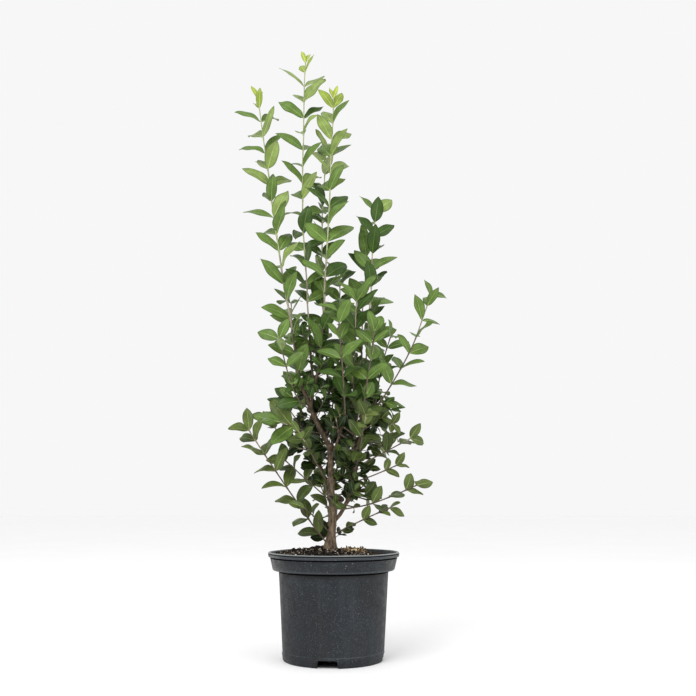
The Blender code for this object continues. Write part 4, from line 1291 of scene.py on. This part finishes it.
def blade_half_widths(leaves, u, length, widths, draw):
    """Half widths along each leaf: a stalk, then an ellipse with both ends drawn out."""
    blade = np.clip((u - PETIOLE * 0.7) / (1 - PETIOLE * 0.7), 0, 1)
    outline = blade ** BASE_TAPER * (1 - blade) ** TIP_TAPER
    peak = BASE_TAPER / (BASE_TAPER + TIP_TAPER)
    outline = outline / (peak ** BASE_TAPER * (1 - peak) ** TIP_TAPER)
    low = spread([clamped((BROAD_TOP - leaf.root.z) / BROAD_SPAN) for leaf in leaves])
    young = spread([leaf.young for leaf in leaves])
    wide = draw(*widths) * (1 + BROADER * low) * (1 - YOUNG_NARROWER * young)
    return np.maximum(outline * wide * length, LEAST_HALF_WIDTH)


def blade_columns(u, half, columns):
    """Shares of the half width where corners stand, from edge to edge; the middle ones bound the midrib."""
    rib = np.minimum(RIB_WIDTH * (1.1 - u) / half, 0.5)
    one_side = rib + (1 - rib) * np.linspace(0, 1, columns // 2) ** 0.85
    return np.concatenate([-one_side[..., ::-1], np.zeros_like(half), one_side], 2)


def blade_sections(leaves, grid, widths, rng):
    """Corners of closed thin blades, station by station: over the upper side, then back beneath."""

    def draw(low, high):
        return spread(rng.uniform(low, high, len(leaves)))

    stations, columns = grid
    length = spread([leaf.length for leaf in leaves])
    u = blade_stations(stations)
    line, side, up = blade_midribs(leaves, u, length, draw)
    half = blade_half_widths(leaves, u, length, widths, draw)
    v = blade_columns(u, half, columns)
    is_stalk = np.clip(1 - (u - PETIOLE * 0.6) / (PETIOLE * 0.9), 0, 1)
    is_blade = 1 - is_stalk

    # Folded along the midrib, bowed down at the sides, and wavy at the margin
    fold = draw(*BLADE_FOLD) * (1 - TIP_FLATTER * u)
    phase = draw(0, 2 * pi)
    ripple = np.sin(2 * pi * BLADE_WAVES * u + phase + (v > 0) * draw(*BLADE_WAVE_SHIFT))
    wave = draw(0, BLADE_WAVE) * length * ripple * v ** 2 * is_blade
    rise = half * (np.abs(v) * np.sin(fold) - draw(*BLADE_BOW) * v ** 2) * is_blade + wave
    body = line + side * (v * half * np.cos(fold))[..., None]

    # Thin at the margin, with a ridge beneath the midrib and a groove above it
    thick = BLADE_THICKNESS * (1 - MARGIN_THINNER * np.abs(v)) * is_blade
    thick = thick + PETIOLE_THICKNESS * np.sqrt(np.clip(1 - v ** 2, 0, 1)) * is_stalk
    is_rib = (v == 0) * is_blade
    upper = body + up * (rise + thick / 2 - RIB_GROOVE * (1 - u) * is_rib)[..., None]
    lower = body + up * (rise - thick / 2 - RIB_RIDGE * (1 - u) ** 0.8 * is_rib)[..., None]
    margin = body + up * rise[..., None]
    upper[:, :, [0, -1]] = margin[:, :, [0, -1]]
    loop = np.concatenate([upper, lower[:, :, -2:0:-1]], 2)
    across_map = np.concatenate([v, v[..., -2:0:-1]], 2) / 2 + 0.5
    along_map = np.broadcast_to(u, across_map.shape)
    return loop.reshape(-1, 3), np.stack([along_map, across_map], -1).reshape(-1, 2)


def blade_slots(tones, grid):
    """Slots of the blades' quads and then their caps: upper side, underside and midrib of each tone."""
    stations, columns = grid
    middle = columns // 2
    kinds = np.tile(np.repeat([0, 1], columns), (stations - 1, 1))
    kinds[:, [middle - 1, middle, -middle - 1, -middle]] = RIB_SLOT
    kinds[0] = RIB_SLOT
    first = TONE_SLOTS * np.array([list(LEAF_TONES).index(tone) for tone in tones])
    return np.concatenate([(first[:, None, None] + kinds).ravel(), np.tile(first + RIB_SLOT, 2)])


def leaf_piece(name, leaves, tones, materials, nodes):
    """One joined piece of leaves, fine ones and coarse small ones."""
    rng = np.random.default_rng(len(leaves))
    parts = []
    maps = []
    for is_small, (grid, widths) in BLADES.items():
        chosen = [i for i, leaf in enumerate(leaves) if leaf.is_small == is_small]
        if chosen:
            corners, uv = blade_sections([leaves[i] for i in chosen], grid, widths, rng)
            faces = tube_faces(grid[0], 2 * grid[1], len(chosen))
            parts.append((corners, faces, blade_slots([tones[i] for i in chosen], grid)))
            maps.append(uv)
    place(add_mesh(name, parts, materials, np.concatenate(maps)), "foliage", *nodes)


def blade_triangles(leaf):
    stations, columns = BLADES[leaf.is_small][0]
    return 4 * columns * (stations - 1) + 4 * columns - 4


def make_leaves(masses, hearts):
    """Joins the leaves of neighbouring masses into pieces below the triangle limit."""
    rng = random.Random("tones")
    pieces = [([], [], [])]
    triangles = 0
    for mass in masses + hearts:
        mood = rng.uniform(-MASS_MOOD, MASS_MOOD) + SUNLIT.get(mass.name, 0.0)
        own = sum(map(blade_triangles, mass.leaves))
        if triangles + own > PIECE_TRIANGLES:
            pieces.append(([], [], []))
            triangles = 0
        triangles += own
        leaves, tones, nodes = pieces[-1]
        leaves += mass.leaves
        tones += [leaf_tone(leaf, mood + rng.uniform(-LEAF_MOOD, LEAF_MOOD)) for leaf in mass.leaves]
        if mass.name in MASSES:
            nodes.append(mass.name)
    materials = [material for tone in LEAF_TONES for material in leaf_paints(tone)]
    for number, (leaves, tones, nodes) in enumerate(pieces, 1):
        leaf_piece(f"leaves_{number}", leaves, tones, materials, nodes)


def even_path(limb, step):
    """The same limb, with rings a small step apart on a smooth line."""
    line = limb.line if len(limb.line) > 2 else [limb.line[0], limb.at(0.5), limb.line[-1]]
    curve = Limb(limb.name, smooth(line), limb.foot_radius, limb.tip_radius)
    count = max(2, round(curve.length / step))
    return Limb(limb.name, [curve.at(i / count) for i in range(count + 1)], limb.foot_radius, limb.tip_radius)


def limb_part(path, radius_at, sides, slot_at=lambda i: 0, cap_rings=0):
    """A tube along a path with a radius of its own at each ring and angle; its end may be a ringed dome."""
    corners = []
    for i, centre in enumerate(path.line):
        corners += [centre + out * radius_at(i, angle, out) for angle, out in path.ring(i, sides)]
    rim = corners[-sides:]
    for ring in range(1, cap_rings + 1):
        share = 1 - ring / (cap_rings + 1)
        dome = path.heading(1) * CUT_DOME * (1 - share ** 2)
        corners += [path.line[-1].lerp(corner, share) + dome for corner in rim]
    slots = [slot_at(i) for i in range(len(path.line) - 1)] + [CUT_SLOT] * cap_rings
    faces = tube_faces(len(path.line) + cap_rings, sides)
    return corners, faces, np.append(np.repeat(slots, sides), [0, slots[-1]])


def relief(spot, scale, stretch):
    """Smooth noise from -1 to 1, drawn out along Z."""
    return noise.noise(Vector((spot.x * scale, spot.y * scale, spot.z * scale / stretch)))


def bark_radius(path, swell, depth):
    """Radius of barked wood: shallow cracks along it, fine lumps, and scattered pores."""

    def radius_at(i, angle, out):
        radius = path.radius(path.share(i)) + swell(path.reach[i], path.length, angle)
        spot = path.line[i] + out * radius
        crack = max(0.0, CRACK_WIDTH - 2 * abs(relief(spot, *CRACKS)))
        lumps = relief(spot, *FINE_LUMPS) * FINE_LUMP_SHARE + relief(spot, *LUMPS)
        pore = max(0.0, relief(spot, *PORES) - PORE_LEVEL)
        return radius + depth * (LUMP_SHARE * lumps - CRACK_SHARE * crack + PORE_SHARE * pore)

    return radius_at


def trunk_swell(reach, length, angle):
    """Roots that flare out at the foot, and a swollen rim round the pruning cut."""
    foot = max(0.0, 1 - reach / FLARE_HEIGHT) ** 2
    ridges = 1 + RIDGE_DEPTH * cos(ROOT_RIDGES * angle)
    top = max(0.0, 1 - (length - reach) / CALLUS_HEIGHT)
    return FLARE * foot * ridges + CALLUS * top


def bough_swell(reach, *_):
    """A swollen foot, and rings where leaves once sat."""
    foot = max(0.0, 1 - reach / COLLAR_REACH) ** 2 * COLLAR_SWELL
    ring = max(0.0, cos(2 * pi * reach / SCAR_SPACING)) ** 12 * SCAR_SWELL
    return foot + ring


def knobbed(path, wood):
    """The trunk's radius with the knob that has grown round its cut, larger to the front."""

    def radius_at(i, angle, out):
        near = max(0.0, 1 - (path.length - path.reach[i]) / KNOB_HEIGHT)
        bulge = sin(pi / 2 * min(1.0, KNOB_RISE * near)) - max(0.0, near - KNOB_TOP)
        lumps = KNOB_LUMPS * relief(path.line[i] + out * KNOB_LUMP_REACH, KNOB_LUMP_SCALE, 1.0)
        return wood(i, angle, out) + bulge * (KNOB_SWELL * (1 + out.dot(KNOB_SIDE)) / 2 + lumps)

    return radius_at


def make_trunk(limbs):
    """Trunk with its flare and weathered cut, and the leader that rises beside the cut."""
    bark = bark_paint("trunk_bark")
    trunk = even_path(limbs["trunk"], TRUNK_STEP)
    shade_start = trunk.length - KNOB_SHADE_SPAN
    wood = knobbed(trunk, bark_radius(trunk, trunk_swell, TRUNK_RELIEF))

    # The bark at the top of the trunk takes the darkened knob material, as painted shade
    def slot_at(i):
        return KNOB_SHADE_SLOT if trunk.reach[i] > shade_start else 0

    part = limb_part(trunk, wood, TRUNK_FINE_SIDES, slot_at, CUT_RINGS)
    for corner in part[0][:TRUNK_FINE_SIDES]:
        corner.z = TRUNK_FOOT.z
    place(add_mesh("trunk_wood", [part], [bark, cut_paint(), bark_paint("knob_bark")]), "trunk_bark", "trunk")
    leader = even_path(limbs["leader"], TRUNK_STEP)
    part = limb_part(leader, bark_radius(leader, bough_swell, LEADER_RELIEF), LEADER_FINE_SIDES)
    place(add_mesh("leader_wood", [part], [bark]), "trunk_bark", "trunk")


def make_bough_wood(limbs):
    bark = bark_paint("bough_bark")
    for name in BOUGHS:
        path = even_path(limbs[name], BOUGH_STEP)
        part = limb_part(path, bark_radius(path, bough_swell, BOUGH_RELIEF), BOUGH_FINE_SIDES)
        place(add_mesh(f"{name}_wood", [part], [bark]), "bough_bark", name)


def ripeness(mass, limb, along, height):
    """0 for brown twigs, 1 for tan ones, 2 for green ones: twigs ripen from the foot up."""
    if mass.name in SHOOTS and limb is mass.stem:
        return min(2, max(0, int(RIPE_RATE * (height - RIPE_HEIGHT))))
    return 1 if along > TAN_ALONG and height > TAN_HEIGHT else 0


def twig_part(mass, limb, step, sides):
    """One twig, swollen where its leaf pairs sit."""
    path = even_path(limb, step)
    nodes = [along * path.length for owner, along, _ in mass.nodes if owner is limb]

    def radius_at(i, *_):
        near = min((abs(path.reach[i] - node) for node in nodes), default=1.0)
        return path.radius(path.share(i)) * (1 + NODE_SWELL * max(0.0, 1 - near / NODE_REACH))

    def slot_at(i):
        return ripeness(mass, limb, path.share(i), path.line[i].z)

    return limb_part(path, radius_at, sides, slot_at)


def make_twigs(masses, hearts):
    """Stems, twigs and side shoots, joined into one piece."""
    parts = []
    for mass in masses + hearts:
        stems = mass.limbs if mass.name in MASSES else []
        parts += [twig_part(mass, limb, STEM_STEP, STEM_FINE_SIDES) for limb in stems]
        parts += [twig_part(mass, limb, SIDE_STEP, SIDE_FINE_SIDES) for limb in mass.side]
    place(add_mesh("twigs", parts, [twig_paint(name) for name in TWIG_COLOURS]), "foliage", *MASSES)


def wall_radius(height):
    """How far the tapering wall below the collar stands from the middle."""
    return between(BASE_RADIUS, BODY_TOP_RADIUS, height / COLLAR_FOOT)


def pot_profile():
    """Outer wall from the middle of the underside up to the lip, then the inner wall down to the floor."""
    rib_radius = wall_radius(BASE_RIB_HEIGHT)
    outer = [
        (0, 0),
        (BASE_RADIUS - ROUNDING, 0),
        (BASE_RADIUS, ROUNDING),
        (rib_radius + BASE_RIB_PROUD, BASE_RIB_HEIGHT),
        (rib_radius, BASE_RIB_HEIGHT + ROUNDING),
        (wall_radius(COLLAR_FOOT - COLLAR_SHADE_LINE), COLLAR_FOOT - COLLAR_SHADE_LINE),
        (BODY_TOP_RADIUS, COLLAR_FOOT),
        (COLLAR_FOOT_RADIUS - ROUNDING, COLLAR_FOOT),
        (COLLAR_FOOT_RADIUS, COLLAR_FOOT + ROUNDING),
        (COLLAR_TOP_RADIUS, LIP_FOOT - LIP_SHADE_LINE),
        (COLLAR_TOP_RADIUS - ROUNDING / 2, LIP_FOOT),
        (LIP_RADIUS - ROUNDING / 2, LIP_FOOT + ROUNDING / 2),
        (LIP_RADIUS, LIP_FOOT + 2 * ROUNDING),
        (LIP_RADIUS, POT_HEIGHT - RIM_SHADE_FOOT),
        (LIP_RADIUS, POT_HEIGHT - RIM_SHADE_TOP),
        (LIP_RADIUS, POT_HEIGHT - ROUNDING),
        (LIP_RADIUS - ROUNDING, POT_HEIGHT),
    ]
    inner = [
        (LIP_INNER_RADIUS + ROUNDING / 2, POT_HEIGHT),
        (LIP_INNER_RADIUS, POT_HEIGHT - ROUNDING / 2),
        (COLLAR_TOP_RADIUS - WALL, LIP_FOOT),
        (COLLAR_FOOT_RADIUS - WALL, COLLAR_FOOT + WALL),
        (BODY_TOP_RADIUS - WALL, COLLAR_FOOT + WALL),
        (BASE_RADIUS - WALL, FLOOR),
        (0, FLOOR),
    ]
    return outer + inner


def turned(profile, segments):
    """Corners and faces of a profile of (radius, height) turned round Z; a radius of 0 closes it."""
    corners, rings = [], []
    for radius, height in profile:
        count = 1 if radius == 0 else segments
        rings.append(range(len(corners), len(corners) + count))
        angles = [2 * pi * k / segments for k in range(count)]
        corners += [Vector((radius * cos(angle), radius * sin(angle), height)) for angle in angles]
    faces = []
    for low, high in zip(rings, rings[1:]):
        for k in range(segments):
            a, b = low[k % len(low)], low[(k + 1) % len(low)]
            c, d = high[(k + 1) % len(high)], high[k % len(high)]
            faces.append(tuple(dict.fromkeys((a, b, c, d))))
    return corners, faces


def is_shade_line(corners, face):
    """Whether a face of the pot lies in the painted shade line under its collar, lip or rim."""
    middle = sum((corners[number] for number in face), Vector()) / len(face)
    reach = hypot(middle.x, middle.y)
    shade_lines = [
        (COLLAR_FOOT - COLLAR_SHADE_LINE, COLLAR_FOOT, BODY_TOP_RADIUS - WALL / 2),
        (LIP_FOOT - LIP_SHADE_LINE, LIP_FOOT, COLLAR_TOP_RADIUS - WALL / 2),
        (POT_HEIGHT - RIM_SHADE_FOOT, POT_HEIGHT - RIM_SHADE_TOP, LIP_RADIUS - WALL / 2),
    ]
    return any(low < middle.z < high and reach > least for low, high, least in shade_lines)


def waver(angle, seed):
    """A slow uneven wave round the pot, from -1 to 1."""
    return noise.noise(Vector((RIM_BENDS * cos(angle), RIM_BENDS * sin(angle), seed)))


def bend_rim(corners):
    """Moves the corners of the collar and lip a little out and up, most at the rim."""
    for corner in corners:
        radius = hypot(corner.x, corner.y)
        if radius > COLLAR_TOP_RADIUS - 2 * WALL and corner.z > COLLAR_FOOT:
            angle = atan2(corner.y, corner.x)
            high = (corner.z - COLLAR_FOOT) / (POT_HEIGHT - COLLAR_FOOT)
            corner.xy *= 1 + RIM_WAVER * high * waver(angle, RIM_OUT_SEED) / radius
            corner.z += RIM_WAVER * RIM_LIFT_SHARE * high * waver(angle, RIM_UP_SEED)


def add_solid(name, corners, faces):
    mesh = bpy.data.meshes.new(name)
    mesh.from_pydata(corners, [], faces)
    mesh.update()
    return link(name, mesh)


def notch_cutter(turn):
    """A wedge that cuts one drain notch out of the wall's foot."""
    corners = []
    for radius in (NOTCH_INNER_RADIUS, LIP_RADIUS):
        for half, height in ((NOTCH_FOOT_WIDTH / 2, -NOTCH_HEIGHT), (NOTCH_TOP_WIDTH / 2, NOTCH_HEIGHT)):
            for side in (-half, half):
                x = radius * cos(turn) - side * sin(turn)
                y = radius * sin(turn) + side * cos(turn)
                corners.append(Vector((x, y, height)))
    faces = [(0, 2, 3, 1), (4, 5, 7, 6), (0, 1, 5, 4), (2, 6, 7, 3), (0, 4, 6, 2), (1, 3, 7, 5)]
    return add_solid("notch", corners, faces)


def make_pot():
    """The pot's turned wall, a little uneven round its rim, with the drain notches cut out."""
    corners, faces = turned(pot_profile(), POT_SEGMENTS)
    # Faces in the shade lines take the near-black material, as painted shadow
    slots = [int(is_shade_line(corners, face)) for face in faces]
    bend_rim(corners)
    pot = add_solid("pot_body", corners, faces)
    pot.data.polygons.foreach_set("material_index", slots)
    pot.data.materials.append(plastic_paint())
    pot.data.materials.append(shade_line_paint())
    cutters = [notch_cutter(NOTCH_TURN + 2 * pi * i / NOTCHES) for i in range(NOTCHES)]
    for cutter in cutters:
        modifier = pot.modifiers.new(cutter.name, "BOOLEAN")
        modifier.operation = "DIFFERENCE"
        modifier.solver = "EXACT"
        modifier.object = cutter
    bpy.context.view_layer.update()
    graph = bpy.context.evaluated_depsgraph_get()
    cut = bpy.data.meshes.new_from_object(pot.evaluated_get(graph))
    pot.modifiers.clear()
    pot.data = cut
    for cutter in cutters:
        bpy.data.objects.remove(cutter)
    cut.shade_smooth()
    cut.set_sharp_from_angle(angle=POT_SHARP_ANGLE)
    place(pot, "pot_plastic", "pot")


def soil_height(x, y):
    """The soil's surface: it rises to the trunk and to some heaps, and dips at the right."""
    edge = COLLAR_FOOT_RADIUS - WALL - 2 * GAP
    share = np.clip((edge - np.hypot(x, y)) / (edge - SOIL_FLAT_RADIUS), 0, 1)
    height = between(SOIL_EDGE, SOIL_CROWN, np.sin(share * pi / 2))
    for centre_x, centre_y, radius, rise in HEAPS:
        height = height + rise * np.exp(-((x - centre_x) ** 2 + (y - centre_y) ** 2) / radius ** 2)
    return height - DIP_DEPTH * np.clip((x - DIP_START) / (DIP_END - DIP_START), 0, 1)


def bed_lump(x, y):
    return sum(high * noise.noise(Vector((x * scale, y * scale, seed))) for scale, high, seed in BED_LUMPS)


def make_soil_bed():
    """The lumpy bed that the loose crumbs lie on."""
    edge = COLLAR_TOP_RADIUS - WALL - 2 * GAP
    radius = np.linspace(BED_MIDDLE, edge, BED_RINGS)[:, None]
    angle = np.linspace(0, 2 * pi, BED_SIDES, endpoint=False)
    x, y = (radius * np.cos(angle)).ravel(), (radius * np.sin(angle)).ravel()
    lumps = np.array([bed_lump(*spot) for spot in zip(x, y)])
    corners = np.stack([x, y, soil_height(x, y) + lumps * BED_LUMP], -1)
    quads, caps = tube_faces(BED_RINGS, BED_SIDES)
    part = (corners, [quads[:, [0, 3, 2, 1]], caps[:1, ::-1]], np.zeros(len(quads) + 1))
    # The near-black bed shows between the crumbs as painted shade in the gaps
    place(add_mesh("soil_bed", [part], [crumb_paint("soil_dark", BED_SOIL_AND_SHADE_COLOUR, 0.35)]), "potting_soil", "soil")


def crumb_shape(subdivisions):
    ball = bmesh.new()
    bmesh.ops.create_icosphere(ball, subdivisions=subdivisions, radius=1)
    corners = np.array([corner.co for corner in ball.verts])
    faces = np.array([[corner.index for corner in face.verts] for face in ball.faces])
    ball.free()
    return corners, faces


def turns_at_random(rng, count):
    """Rotation matrices that turn every way."""
    first = rng.normal(size=(count, 3))
    first /= np.linalg.norm(first, axis=1, keepdims=True)
    second = np.cross(first, rng.normal(size=(count, 3)))
    second /= np.linalg.norm(second, axis=1, keepdims=True)
    return np.stack([first, second, np.cross(first, second)], 1)


def crumbs(rng, count, size, stretch, subdivisions, places):
    """Corners and faces of many loose lumps of uneven shape at the places."""
    shape, faces = crumb_shape(subdivisions)
    lumps = shape[None] * rng.uniform(*CRUMB_LUMPS, (count, len(shape), 1))
    sizes = rng.uniform(*size, (count, 1, 1)) * rng.uniform(*CRUMB_SHAPES, (count, 1, 3))
    corners = (lumps * (sizes * np.array(stretch))) @ turns_at_random(rng, count) + places[:, None, :]
    starts = np.arange(count)[:, None, None] * len(shape)
    return corners.reshape(-1, 3), (faces[None] + starts).reshape(-1, 3)


def scatter(rng, count, centre, reach, lift):
    """Places on the soil within a reach of a centre, clear of the pot's wall."""
    angle = rng.uniform(0, 2 * pi, count)
    distance = reach * np.sqrt(rng.uniform(0, 1, count))
    x = centre[0] + distance * np.cos(angle)
    y = centre[1] + distance * np.sin(angle)
    inside = np.minimum(1, CRUMB_EDGE / np.maximum(np.hypot(x, y), 1e-6))
    x, y = x * inside, y * inside
    return np.stack([x, y, soil_height(x, y) + rng.uniform(0, 1, count) * lift], -1)


def make_crumbs():
    """Loose soil: crumbs of several browns, wood chips in heaps, and pale grains."""
    rng = np.random.default_rng(CRUMB_SEED)
    for name, colour, count, size, stretch, detail, centre, reach, lift in CRUMBS:
        places = scatter(rng, count, centre, reach, lift)
        corners, faces = crumbs(rng, count, size, stretch, detail, places)
        piece = add_mesh(name, [(corners, [faces], np.zeros(len(faces)))], [crumb_paint(name, colour, 0.3)])
        place(piece, "potting_soil", "soil")


def make_stage():
    """A wide pale floor, even sky light, and large soft lights."""
    bpy.ops.mesh.primitive_plane_add(size=FLOOR_SIZE)
    floor = bpy.context.object
    floor.name = "floor"
    floor.data.materials.append(floor_paint())
    world = bpy.data.worlds.new("sky")
    bpy.context.scene.world = world
    world.use_nodes = True
    background = world.node_tree.nodes["Background"]
    background.inputs["Color"].default_value = SKY_COLOUR
    background.inputs["Strength"].default_value = SKY_STRENGTH
    for name, spot, size, power in LIGHTS:
        light = bpy.data.lights.new(name, "AREA")
        light.size = size
        light.energy = power
        lamp = link(name, light)
        lamp.location = spot
        lamp.rotation_euler = (LIT_POINT - Vector(spot)).to_track_quat("-Z", "Y").to_euler()


def make_camera():
    data = bpy.data.cameras.new("camera")
    data.sensor_width = SENSOR
    data.lens = FOCAL_PIXELS / FRAME_PIXELS * SENSOR
    camera = link("camera", data)
    camera.location = CAMERA_PLACE
    camera.rotation_euler = (pi / 2 + CAMERA_PITCH, 0, 0)
    bpy.context.scene.camera = camera
    bpy.context.scene.view_settings.view_transform = "Standard"


def main():
    limbs = plan_limbs()
    masses, hearts = grow_crown(limbs)
    make_pot()
    make_soil_bed()
    make_crumbs()
    make_trunk(limbs)
    make_bough_wood(limbs)
    make_twigs(masses, hearts)
    make_leaves(masses, hearts)
    make_stage()
    make_camera()


main()
